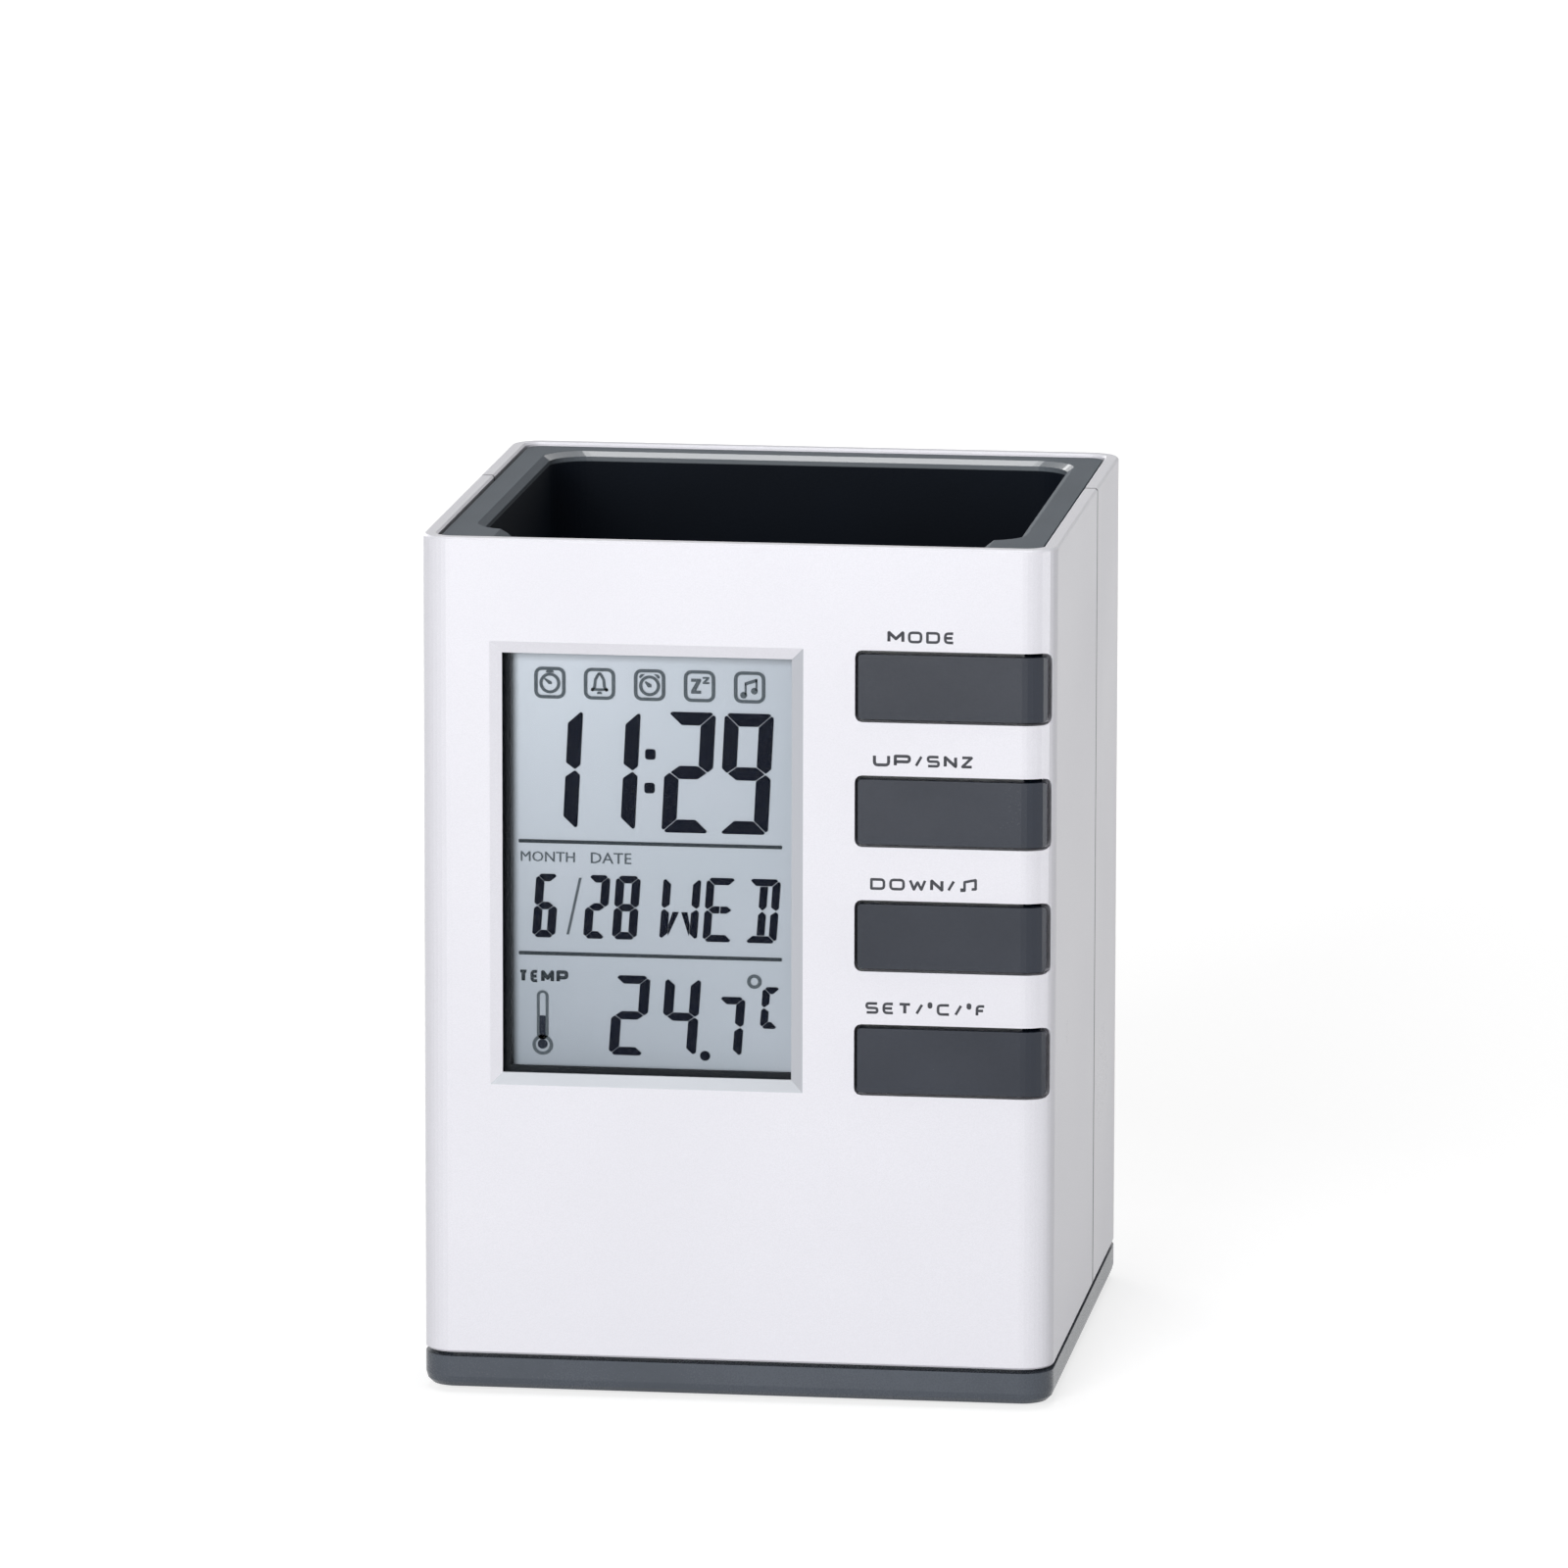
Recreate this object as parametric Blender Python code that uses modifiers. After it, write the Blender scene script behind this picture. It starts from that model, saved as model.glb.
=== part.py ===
"""Desk pen holder with a digital clock in its front, modelled piece by piece as it is assembled.

Lengths are in metres and +Z is up. The display and the keys face -Y. The origin lies on the
table under the middle of the case.
"""

import math

import bmesh
import bpy
from mathutils import Vector

# Outline of the case, and its shells
CASE_WIDTH = 0.080
CASE_DEPTH = 0.080
CASE_HEIGHT = 0.1096
CASE_CORNER = 0.004
SHELL_WALL = 0.0018
SEAM_SETBACK = 0.050
SEAM_GAP = 0.0003
EDGE_BREAK = 0.00025
LEDGE_DEPTH = 0.0012
LEDGE_HEIGHT = 0.0015
LEDGE_FROM_SEAM = 0.002
TONGUE_THICKNESS = 0.0010
TONGUE_REACH = 0.0020
TONGUE_ROOT = 0.0040
TONGUE_END_GAP = 0.0020

# The gap that every piece keeps to its neighbour, and how far a cutter runs past a face
CLEARANCE = 0.0003
OVERRUN = 0.001

# Rubber feet
FOOT_RADIUS = 0.004
FOOT_THICKNESS = 0.0012
FOOT_PROUD = 0.0005
FOOT_CHAMFER = 0.0003
FOOT_INSET = 0.008

# Base tray
BASE_EDGE_HEIGHT = 0.0042
BASE_EDGE_ROUND = 0.0016
BASE_FLOOR = 0.003
SHADOW_GAP = 0.0005
SPIGOT_WALL = 0.0013
SPIGOT_RISE = 0.003

# Cells, their contacts and the bay in the base tray
CELL_RADIUS = 0.00525
CELL_LENGTH = 0.0445
CELL_GAP = 0.0007
CELL_EDGE = 0.0004
NUB_RADIUS = 0.0019
NUB_LENGTH = 0.0008
CONTACT_THICKNESS = 0.0004
CONTACT_WIDTH = 0.008
CONTACT_HEIGHT = 0.0084
TAB_WIDTH = 0.003
TAB_REACH = 0.0008
SPRING_LENGTH = 0.0042
SPRING_WIRE_RADIUS = 0.00025
SPRING_WIDE_RADIUS = 0.0036
SPRING_NARROW_RADIUS = 0.0021
BAY_WALL = 0.0015
BAY_GAP_COUNT = 5

# Battery cover, which slides back by its travel and then lifts out
COVER_THICKNESS = 0.0015
COVER_OVERLAP = 0.0025
COVER_CORNER = 0.0012
COVER_TRAVEL = 0.005
TONGUE_TAB_LENGTH = 0.0045
TONGUE_TAB_REACH = 0.0012
TONGUE_TAB_THICKNESS = 0.0008
TONGUE_TAB_SHARES = (-0.40, 0.12)
GRIP_LENGTH = 0.012
GRIP_WIDTH = 0.0008
GRIP_DEPTH = 0.0004
GRIP_PITCH = 0.0018
GRIP_EDGE = 0.004
GRIP_COUNT = 5

# Pen cup
CUP_WALL = 0.0015
CUP_FLOOR = 0.0015
CUP_CORNER = 0.005
CUP_DRAFT = 0.0015
CUP_CHAMFER = 0.0012
LIP_SLOPE_REACH = 0.0066
LIP_SLOPE_DEPTH = 0.0019
LIP_SLOPE_END = 0.0022
RIM_WIDTH = 0.006
RIM_RECESS = 0.00045
RIM_THICKNESS = 0.0025
RIM_GROOVE = 0.00035
PAD_HEIGHT = 0.001
PAD_SIZE = 0.004
CUP_BOSS_RADIUS = 0.0029
CUP_BOSS_INSET = 0.006
CUP_BOSS_ROOF = 0.0015

# Screws
CASE_SCREW_RADIUS = 0.00125
CASE_SCREW_LENGTH = 0.009
CASE_HEAD_RADIUS = 0.0024
CASE_HEAD_HEIGHT = 0.0013
CASE_SCREW_SEAT = 0.0017
BOARD_SCREW_RADIUS = 0.0009
BOARD_SCREW_LENGTH = 0.0048
BOARD_HEAD_RADIUS = 0.0019
BOARD_HEAD_HEIGHT = 0.0008
HEAD_CROWN_SHARES = (0.75, 0.55)
RECESS_SHARES = (0.62, 0.16, 0.6)
TIP_SHARE = 0.12

# Display window in the front shell
WINDOW_WIDTH = 0.0366
WINDOW_HEIGHT = 0.0536
WINDOW_SETIN = 0.0104
WINDOW_BEVEL = 0.0015
WINDOW_BEVEL_DEPTH = 0.0005
LENS_LIP = 0.0008
LENS_THICKNESS = 0.001
LENS_OVERLAP = 0.0013

# Display stack behind the window
HOLDER_LIP = 0.0006
HOLDER_WALL = 0.001
HOLDER_SHOWS_LEFT = 0.0007
HOLDER_SHOWS_BELOW = 0.0005
GLASS_THICKNESS = 0.0009
GLASS_SIDE_MARGIN = 0.0016
GLASS_END_MARGIN = 0.0032
GLASS_LEDGE = 0.0026
FILM_THICKNESS = 0.0002
STRIP_SET_IN = 0.0008

# Keys and their slots
KEY_NAMES = ("mode", "up", "down", "set")
KEY_PITCH = 0.01584
KEY_ABOVE_WINDOW = 0.00145
SLOT_HEIGHT = 0.0091
SLOT_FROM_WINDOW = 0.0080
SLOT_FROM_SIDE = 0.0005
SLOT_CORNER = 0.0009
SLOT_BEHIND_WALL = 0.0017
KEY_GAP = 0.00045
KEY_PROUD = 0.0004
KEY_FLANGE = 0.001
KEY_FLANGE_OVERLAP = 0.00105
KEY_TRAVEL = 0.0005

# Push switches
SWITCH_SIZE = 0.006
SWITCH_HEIGHT = 0.0025
SWITCH_FLOOR = 0.0004
PLUNGER_RADIUS = 0.0016
PLUNGER_PROUD = 0.0005

# Circuit board and what is on it
BOARD_THICKNESS = 0.0012
BOARD_BELOW_RIM = 0.00205
BOARD_BOSS_RADIUS = 0.0023
BOARD_BOSS_EDGE = 0.0024
BOARD_BOSS_FROM_END = 0.0055
BOARD_SIDE_MARGIN = 0.0009
BOARD_FROM_KEYS = 0.0027
BOSS_FLOOR = 0.0006
BLOB_RADIUS = 0.006
BLOB_HEIGHT = 0.0008
CRYSTAL_RADIUS = 0.001
CRYSTAL_LENGTH = 0.006
CAPACITOR_RADIUS = 0.0018
CAPACITOR_LENGTH = 0.005
THERMISTOR_RADIUS = 0.0011
THERMISTOR_LEG_RADIUS = 0.00025
THERMISTOR_LEG_LENGTH = 0.003
THERMISTOR_LEG_SPREAD = 0.0012
SOUNDER_RADIUS = 0.010
SOUNDER_THICKNESS = 0.0003
CERAMIC_RADIUS = 0.007
CERAMIC_THICKNESS = 0.0002
BLOB_SPOT_SHARES = (0.40, 0.62)
SOUNDER_SPOT_SHARES = (0.30, 0.30)
CRYSTAL_SPOT_SHARE = 0.26
THERMISTOR_SPOT_SHARE = 0.42
CAPACITOR_SPOT_SHARE = 0.56

# Leads, each pair side by side along the free space inside the case
LEAD_RADIUS = 0.0006
LEAD_PITCH = 0.0018
LEAD_BEND = 0.0025
LEAD_PAD_HEIGHT = 0.002
RED_END_SHARE = 0.71
BLACK_END_SHARE = 0.66
LEAD_TURN_SHARE = 0.11
LEAD_CLIMB_SHARES = (0.3, 0.62)
SOUNDER_LEAD_RADIUS = 0.00025
SOUNDER_PAD_HEIGHT = 0.003
SOUNDER_START_SHARES = ((0.18, -0.48), (0.55, -0.65))
SOUNDER_END_SHARES = (0.47, 0.53)
SOUNDER_CLIMB_SHARES = (0.3, 0.7)

# Steps of round shapes
CORNER_STEPS = 10
SMALL_CORNER_STEPS = 3
EDGE_STEPS = 3
TURN_STEPS = 24
SCREW_STEPS = 12
BOSS_SIDES = 16
DOME_STEPS = 4
LEAD_STEPS = 4
SPRING_TURNS = 3
SPRING_TURN_STEPS = 10
TUBE_STEPS = 2
SPRING_WIRE_STEPS = 1
WELD = 0.00001
PARALLEL_SHARE = 0.999
ROUND_SHARE = 0.5
BREAK_ANGLE = math.radians(40)

# Places that follow from the sizes above
FRONT = -CASE_DEPTH / 2
BACK = CASE_DEPTH / 2
SIDE = CASE_WIDTH / 2
INNER_FRONT = FRONT + SHELL_WALL
INNER_SIDE = SIDE - SHELL_WALL
SEAM = FRONT + SEAM_SETBACK

BASE_BOTTOM = FOOT_PROUD
BASE_EDGE_TOP = BASE_BOTTOM + BASE_EDGE_HEIGHT
FLOOR_TOP = BASE_BOTTOM + BASE_FLOOR
SHELL_BOTTOM = BASE_EDGE_TOP + SHADOW_GAP
SPIGOT_TOP = SHELL_BOTTOM + SPIGOT_RISE
SPIGOT_INSIDE = SIDE - SHELL_WALL - CLEARANCE - SPIGOT_WALL

COVER_TOP = BASE_BOTTOM + COVER_THICKNESS
RECESS_TOP = COVER_TOP + CLEARANCE
CELL_CENTRE_Z = RECESS_TOP + CELL_RADIUS
BAY_CEILING = CELL_CENTRE_Z + CELL_RADIUS + CLEARANCE
BAY_TOP = BAY_CEILING + BAY_WALL
BAY_CONTENTS = CELL_LENGTH + SPRING_LENGTH + CONTACT_THICKNESS * 2
BAY_HALF_LENGTH = (BAY_CONTENTS + CLEARANCE * BAY_GAP_COUNT) / 2
BAY_HALF_WIDTH = 2 * CELL_RADIUS + CELL_GAP / 2 + CLEARANCE
CELL_OFFSET = CELL_RADIUS + CELL_GAP / 2

KEY_FLANGE_FRONT = INNER_FRONT + CLEARANCE
KEY_FLANGE_BACK = KEY_FLANGE_FRONT + KEY_FLANGE
PLUNGER_FRONT = KEY_FLANGE_BACK + CLEARANCE
SWITCH_FRONT = PLUNGER_FRONT + PLUNGER_PROUD
SWITCH_BACK = SWITCH_FRONT + SWITCH_HEIGHT
BOARD_FRONT = SWITCH_BACK + CLEARANCE
BOARD_BACK = BOARD_FRONT + BOARD_THICKNESS

CUP_OUTER_FRONT = BOARD_BACK + CLEARANCE + BOARD_HEAD_HEIGHT + CLEARANCE
POCKET_FRONT = CUP_OUTER_FRONT + CUP_WALL
POCKET_BACK = BACK - RIM_WIDTH
POCKET_SIDE = SIDE - RIM_WIDTH
CUP_FLOOR_BOTTOM = BAY_TOP + CLEARANCE + PAD_HEIGHT
POCKET_FLOOR = CUP_FLOOR_BOTTOM + CUP_FLOOR
RIM_TOP = CASE_HEIGHT - RIM_RECESS
RIM_BOTTOM = RIM_TOP - RIM_THICKNESS
LEDGE_TOP = RIM_BOTTOM - CLEARANCE
LEDGE_BOTTOM = LEDGE_TOP - LEDGE_HEIGHT

BOSS_X = POCKET_SIDE - CUP_DRAFT - CUP_BOSS_INSET
BOSS_FRONT_Y = POCKET_FRONT + CUP_DRAFT + CUP_BOSS_INSET - CUP_WALL
BOSS_BACK_Y = POCKET_BACK - CUP_DRAFT - CUP_BOSS_INSET
BAY_Y = (BOSS_FRONT_Y + BOSS_BACK_Y) / 2

BOARD_TOP = RIM_BOTTOM - BOARD_BELOW_RIM
BOARD_BOSS_TOP = BOARD_TOP - BOARD_BOSS_EDGE
HOLDER_TOP = BOARD_BOSS_TOP - BOARD_BOSS_RADIUS - CLEARANCE
HOLDER_SIDE = GLASS_SIDE_MARGIN + CLEARANCE + HOLDER_WALL
HOLDER_END = GLASS_END_MARGIN + CLEARANCE + HOLDER_WALL
WINDOW_TOP = HOLDER_TOP - HOLDER_END
WINDOW_BOTTOM = WINDOW_TOP - WINDOW_HEIGHT
WINDOW_LEFT = -SIDE + WINDOW_SETIN
WINDOW_RIGHT = WINDOW_LEFT + WINDOW_WIDTH
HOLDER_BOTTOM = WINDOW_BOTTOM - HOLDER_END

LENS_FRONT = FRONT + LENS_LIP + CLEARANCE
LENS_BACK = LENS_FRONT + LENS_THICKNESS
HOLDER_FRONT = LENS_BACK + CLEARANCE
HOLDER_BACK = BOARD_FRONT - CLEARANCE
GLASS_FRONT = HOLDER_FRONT + HOLDER_LIP + CLEARANCE
REAR_GLASS_FRONT = GLASS_FRONT + GLASS_THICKNESS + CLEARANCE
FILM_FRONT = REAR_GLASS_FRONT + GLASS_THICKNESS + CLEARANCE

SLOT_LEFT = WINDOW_RIGHT + SLOT_FROM_WINDOW
SLOT_RIGHT = SIDE - SLOT_FROM_SIDE
SLOT_MIDDLE = (SLOT_LEFT + SLOT_RIGHT) / 2
FIRST_KEY_Z = WINDOW_TOP + KEY_ABOVE_WINDOW - SLOT_HEIGHT / 2
LAST_KEY_Z = FIRST_KEY_Z - KEY_PITCH * (len(KEY_NAMES) - 1)
FLANGE_HALF = SLOT_HEIGHT / 2 - KEY_GAP + KEY_FLANGE_OVERLAP

LOWEST_FRONT_PIECE = min(HOLDER_BOTTOM, LAST_KEY_Z - FLANGE_HALF)
BOARD_BOSS_BOTTOM = LOWEST_FRONT_PIECE - CLEARANCE - BOARD_BOSS_RADIUS
BOARD_BOTTOM = BOARD_BOSS_BOTTOM - BOARD_BOSS_EDGE
BOARD_LEFT = WINDOW_LEFT - HOLDER_SIDE - BOARD_SIDE_MARGIN
BOARD_RIGHT = SLOT_RIGHT - KEY_GAP - BOARD_FROM_KEYS

PARTS_NAME = "pen_holder_clock"
CUTTERS_NAME = "cutters"

# Colour, roughness and metallic value of each finish
FINISHES = {
    "silver_shell": ((0.88, 0.88, 0.92), 0.32, 0.10),
    "dark_case": ((0.105, 0.118, 0.145), 0.45, 0.0),
    "cup_grey": ((0.130, 0.145, 0.165), 0.45, 0.0),
    "key_grey": ((0.070, 0.080, 0.105), 0.38, 0.0),
    "clear_lens": ((0.93, 0.95, 0.95), 0.05, 0.0),
    "display_glass": ((0.60, 0.66, 0.66), 0.08, 0.0),
    "reflector_film": ((0.55, 0.60, 0.58), 0.50, 0.20),
    "holder_black": ((0.02, 0.02, 0.025), 0.50, 0.0),
    "conductive_rubber": ((0.55, 0.33, 0.36), 0.70, 0.0),
    "board_green": ((0.03, 0.16, 0.07), 0.45, 0.0),
    "epoxy_black": ((0.015, 0.015, 0.015), 0.35, 0.0),
    "plated_steel": ((0.62, 0.62, 0.60), 0.30, 1.0),
    "switch_black": ((0.03, 0.03, 0.03), 0.50, 0.0),
    "plunger_grey": ((0.20, 0.20, 0.20), 0.45, 0.0),
    "thermistor_resin": ((0.08, 0.05, 0.03), 0.40, 0.0),
    "sounder_brass": ((0.72, 0.55, 0.24), 0.35, 1.0),
    "sounder_ceramic": ((0.80, 0.80, 0.76), 0.55, 0.0),
    "cell_wrap": ((0.10, 0.22, 0.42), 0.40, 0.0),
    "rubber_black": ((0.025, 0.025, 0.025), 0.85, 0.0),
    "red_insulation": ((0.55, 0.02, 0.02), 0.45, 0.0),
    "black_insulation": ((0.02, 0.02, 0.02), 0.45, 0.0),
}


def clear_scene():
    for obj in list(bpy.data.objects):
        bpy.data.objects.remove(obj)
    for old in list(bpy.data.collections):
        bpy.data.collections.remove(old)


def add_collection(name):
    made = bpy.data.collections.new(name)
    bpy.context.scene.collection.children.link(made)


def place(name, data, where, location=(0, 0, 0)):
    """Puts mesh or curve data in a collection, as an object at a place."""
    obj = bpy.data.objects.new(name, data)
    obj.location = location
    bpy.data.collections[where].objects.link(obj)
    if where == CUTTERS_NAME:
        obj.hide_render = True
        obj.display_type = "WIRE"
    return obj


def as_mesh(name, bm):
    mesh = bpy.data.meshes.new(name)
    bm.to_mesh(mesh)
    bm.free()
    mesh.shade_smooth()
    mesh.set_sharp_from_angle(angle=BREAK_ANGLE)
    return mesh


def paint(obj, finish):
    """Gives a piece its finish."""
    colour, roughness, metallic = FINISHES[finish]
    mat = bpy.data.materials.get(finish) or bpy.data.materials.new(finish)
    mat.use_nodes = True
    shader = mat.node_tree.nodes["Principled BSDF"]
    shader.inputs["Base Color"].default_value = (*colour, 1)
    shader.inputs["Roughness"].default_value = roughness
    shader.inputs["Metallic"].default_value = metallic
    obj.data.materials.append(mat)
    return obj


def edges_along(bm, axis):
    """The straight edges that run along axis 0, 1 or 2."""
    spans = [(e, (e.verts[0].co - e.verts[1].co).normalized()) for e in bm.edges]
    return [e for e, span in spans if abs(span[axis]) > PARALLEL_SHARE]


def round_edges(bm, edges, radius, steps):
    bmesh.ops.bevel(
        bm,
        geom=edges,
        offset=radius,
        offset_type="OFFSET",
        segments=steps,
        profile=ROUND_SHARE,
        affect="EDGES",
        clamp_overlap=True,
        material=-1,
    )


def box_mesh(size):
    bm = bmesh.new()
    bmesh.ops.create_cube(bm, size=1)
    bmesh.ops.scale(bm, vec=size, verts=bm.verts)
    return bm


def block(name, low, high, where, radius=0, along=2, steps=SMALL_CORNER_STEPS):
    """A box between two corners, with the edges along one axis rounded."""
    low, high = Vector(low), Vector(high)
    bm = box_mesh(high - low)
    if radius:
        round_edges(bm, edges_along(bm, along), radius, steps)
    return place(name, as_mesh(name, bm), where, (low + high) / 2)


def cylinder(name, radius, start, end, where, sides=BOSS_SIDES):
    """A round bar from one point to another, which lie on a line along an axis."""
    start, end = Vector(start), Vector(end)
    bm = bmesh.new()
    bmesh.ops.create_cone(
        bm,
        cap_ends=True,
        segments=sides,
        radius1=radius,
        radius2=radius,
        depth=(end - start).length,
    )
    obj = place(name, as_mesh(name, bm), where, (start + end) / 2)
    obj.rotation_mode = "QUATERNION"
    obj.rotation_quaternion = (end - start).to_track_quat("Z", "Y")
    return obj


def turned(name, profile, start, towards, where, steps=TURN_STEPS):
    """A profile of (radius, height) pairs, from its top down, turned about a line through start."""
    bm = bmesh.new()
    verts = [bm.verts.new((radius, 0, height)) for radius, height in profile]
    for upper, lower in zip(verts, verts[1:]):
        bm.edges.new((upper, lower))
    obj = place(name, as_mesh(name, bm), where, start)
    obj.rotation_mode = "QUATERNION"
    obj.rotation_quaternion = Vector(towards).to_track_quat("Z", "Y")
    screw = obj.modifiers.new("turn", "SCREW")
    screw.steps = steps
    screw.render_steps = steps
    screw.use_merge_vertices = True
    screw.merge_threshold = WELD
    return obj


def smooth_route(points, steps):
    """Points along a smooth curve through the given ones."""
    points = [Vector(p) for p in points]
    padded = [points[0] * 2 - points[1], *points, points[-1] * 2 - points[-2]]
    route = []
    for a, b, c, d in zip(padded, padded[1:], padded[2:], padded[3:]):
        for step in range(steps):
            t = step / steps
            bend = (a * 2 - b * 5 + c * 4 - d) * t * t
            twist = (b * 3 - a - c * 3 + d) * t * t * t
            route.append((b * 2 + (c - a) * t + bend + twist) / 2)
    return [*route, points[-1]]


def tube(name, points, radius, roundness, where=PARTS_NAME):
    """A round wire along points, with closed ends."""
    curve = bpy.data.curves.new(name, "CURVE")
    curve.dimensions = "3D"
    curve.bevel_depth = radius
    curve.bevel_resolution = roundness
    curve.use_fill_caps = True
    spline = curve.splines.new("POLY")
    spline.points.add(len(points) - 1)
    for spot, point in zip(spline.points, points):
        spot.co = (*point, 1)
    return place(name, curve, where)


def combine(target, other, operation):
    step = target.modifiers.new(other.name, "BOOLEAN")
    step.operation = operation
    step.solver = "EXACT"
    step.object = other
    return target


def cut(target, *others):
    for other in others:
        combine(target, other, "DIFFERENCE")
    return target


def fuse(target, *others):
    for other in others:
        combine(target, other, "UNION")
    return target


def case_block(name, inset, bottom, top, where=CUTTERS_NAME):
    """A block of the case's rounded outline, drawn in or out by an inset."""
    low = (-SIDE + inset, FRONT + inset, bottom)
    high = (SIDE - inset, BACK - inset, top)
    return block(name, low, high, where, CASE_CORNER - inset, steps=CORNER_STEPS)


def case_wall(name, inset, thickness, bottom, top, is_front, from_seam, where):
    """An upright wall along the front or rear part of the case's outline, up to the seam."""
    bm = box_mesh(((SIDE - inset) * 2, (BACK - inset) * 2, top - bottom))
    round_edges(bm, edges_along(bm, 2), CASE_CORNER - inset, CORNER_STEPS)
    ends = [f for f in bm.faces if abs(f.normal.z) > PARALLEL_SHARE]
    bmesh.ops.delete(bm, geom=ends, context="FACES_ONLY")
    side = 1 if is_front else -1
    bmesh.ops.bisect_plane(
        bm,
        geom=[*bm.verts, *bm.edges, *bm.faces],
        dist=WELD,
        plane_co=(0, SEAM - side * from_seam, 0),
        plane_no=(0, side, 0),
        clear_outer=True,
    )
    obj = place(name, as_mesh(name, bm), where, (0, 0, (bottom + top) / 2))
    skin = obj.modifiers.new("thickness", "SOLIDIFY")
    skin.thickness = thickness
    skin.offset = -1
    skin.use_even_offset = True
    return obj


def shell(name, is_front):
    """The plain wall of a shell with the ledge that carries the cup's rim."""
    levels = (SHELL_BOTTOM, CASE_HEIGHT)
    obj = case_wall(name, 0, SHELL_WALL, *levels, is_front, SEAM_GAP / 2, PARTS_NAME)
    edge = obj.modifiers.new("edge break", "BEVEL")
    edge.width = EDGE_BREAK
    edge.segments = 1
    edge.limit_method = "ANGLE"
    edge.angle_limit = BREAK_ANGLE
    inset = SHELL_WALL / 2
    thickness = SHELL_WALL - inset + LEDGE_DEPTH
    levels = (LEDGE_BOTTOM, LEDGE_TOP)
    label = f"{name}_ledge"
    ledge = case_wall(label, inset, thickness, *levels, is_front, LEDGE_FROM_SEAM, CUTTERS_NAME)
    return paint(fuse(obj, ledge), "silver_shell")


def window_bevel():
    """The sloping border of the window, as a cutter that narrows inwards through the opening."""
    centre = Vector(((WINDOW_LEFT + WINDOW_RIGHT) / 2, FRONT, (WINDOW_TOP + WINDOW_BOTTOM) / 2))
    width = WINDOW_WIDTH + 2 * WINDOW_BEVEL
    height = WINDOW_HEIGHT + 2 * WINDOW_BEVEL
    bm = box_mesh((width, WINDOW_BEVEL_DEPTH * 4, height))
    for side in (-1, 1):
        spread = -side * WINDOW_BEVEL * 4
        vec = Vector((1 + spread / width, 1, 1 + spread / height))
        bmesh.ops.scale(bm, vec=vec, verts=[v for v in bm.verts if v.co.y * side > 0])
    return place("window_bevel", as_mesh("window_bevel", bm), CUTTERS_NAME, centre)


def cut_window(obj):
    """Opens the window, its bevel and the seat of the lens behind it."""
    low = (WINDOW_LEFT, FRONT - OVERRUN, WINDOW_BOTTOM)
    high = (WINDOW_RIGHT, INNER_FRONT + OVERRUN, WINDOW_TOP)
    opening = block("window_opening", low, high, CUTTERS_NAME)
    seat = LENS_OVERLAP + CLEARANCE
    low = (WINDOW_LEFT - seat, FRONT + LENS_LIP, WINDOW_BOTTOM - seat)
    high = (WINDOW_RIGHT + seat, INNER_FRONT + OVERRUN, WINDOW_TOP + seat)
    cut(obj, opening, window_bevel(), block("lens_seat", low, high, CUTTERS_NAME))


def key_centres():
    return [(name, FIRST_KEY_Z - KEY_PITCH * i) for i, name in enumerate(KEY_NAMES)]


def cut_key_slots(obj):
    for name, z in key_centres():
        low = (SLOT_LEFT, FRONT - OVERRUN, z - SLOT_HEIGHT / 2)
        high = (SLOT_RIGHT, INNER_FRONT + SLOT_BEHIND_WALL, z + SLOT_HEIGHT / 2)
        cut(obj, block(f"{name}_slot", low, high, CUTTERS_NAME, SLOT_CORNER, along=1))


def board_screw_spots():
    """The (x, z) places of the board's screws."""
    left = BOARD_LEFT + BOARD_BOSS_FROM_END
    right = BOARD_RIGHT - BOARD_BOSS_FROM_END
    return [(x, z) for z in (BOARD_BOSS_BOTTOM, BOARD_BOSS_TOP) for x in (left, right)]


def add_board_bosses(obj):
    hole_radius = BOARD_SCREW_RADIUS + CLEARANCE
    for i, (x, z) in enumerate(board_screw_spots()):
        root = (x, INNER_FRONT - SHELL_WALL / 2, z)
        end = (x, BOARD_FRONT - CLEARANCE, z)
        fuse(obj, cylinder(f"board_boss_{i}", BOARD_BOSS_RADIUS, root, end, CUTTERS_NAME))
        low = (x, INNER_FRONT + BOSS_FLOOR, z)
        high = (x, BOARD_FRONT + OVERRUN, z)
        cut(obj, cylinder(f"board_boss_hole_{i}", hole_radius, low, high, CUTTERS_NAME, SCREW_STEPS))


def make_front_shell():
    obj = shell("front_shell", True)
    add_board_bosses(obj)
    cut_window(obj)
    cut_key_slots(obj)


def make_rear_shell():
    """The rear shell, with a tongue on each side that reaches behind the front shell."""
    obj = shell("rear_shell", False)
    bottom = SPIGOT_TOP + TONGUE_END_GAP
    top = LEDGE_BOTTOM - TONGUE_END_GAP
    outer = INNER_SIDE - CLEARANCE
    inner = outer - TONGUE_THICKNESS
    for side in (-1, 1):
        label = "left" if side < 0 else "right"
        root_y = SEAM + SEAM_GAP / 2 + CLEARANCE
        xs = sorted((side * (inner - CLEARANCE), side * (INNER_SIDE + SHELL_WALL / 2)))
        low, high = (xs[0], root_y, bottom), (xs[1], root_y + TONGUE_ROOT, top)
        fuse(obj, block(f"{label}_tongue_root", low, high, CUTTERS_NAME))
        xs = sorted((side * inner, side * outer))
        low = (xs[0], SEAM - TONGUE_REACH, bottom + CLEARANCE)
        high = (xs[1], root_y + TONGUE_ROOT / 2, top - CLEARANCE)
        fuse(obj, block(f"{label}_tongue", low, high, CUTTERS_NAME))


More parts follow.
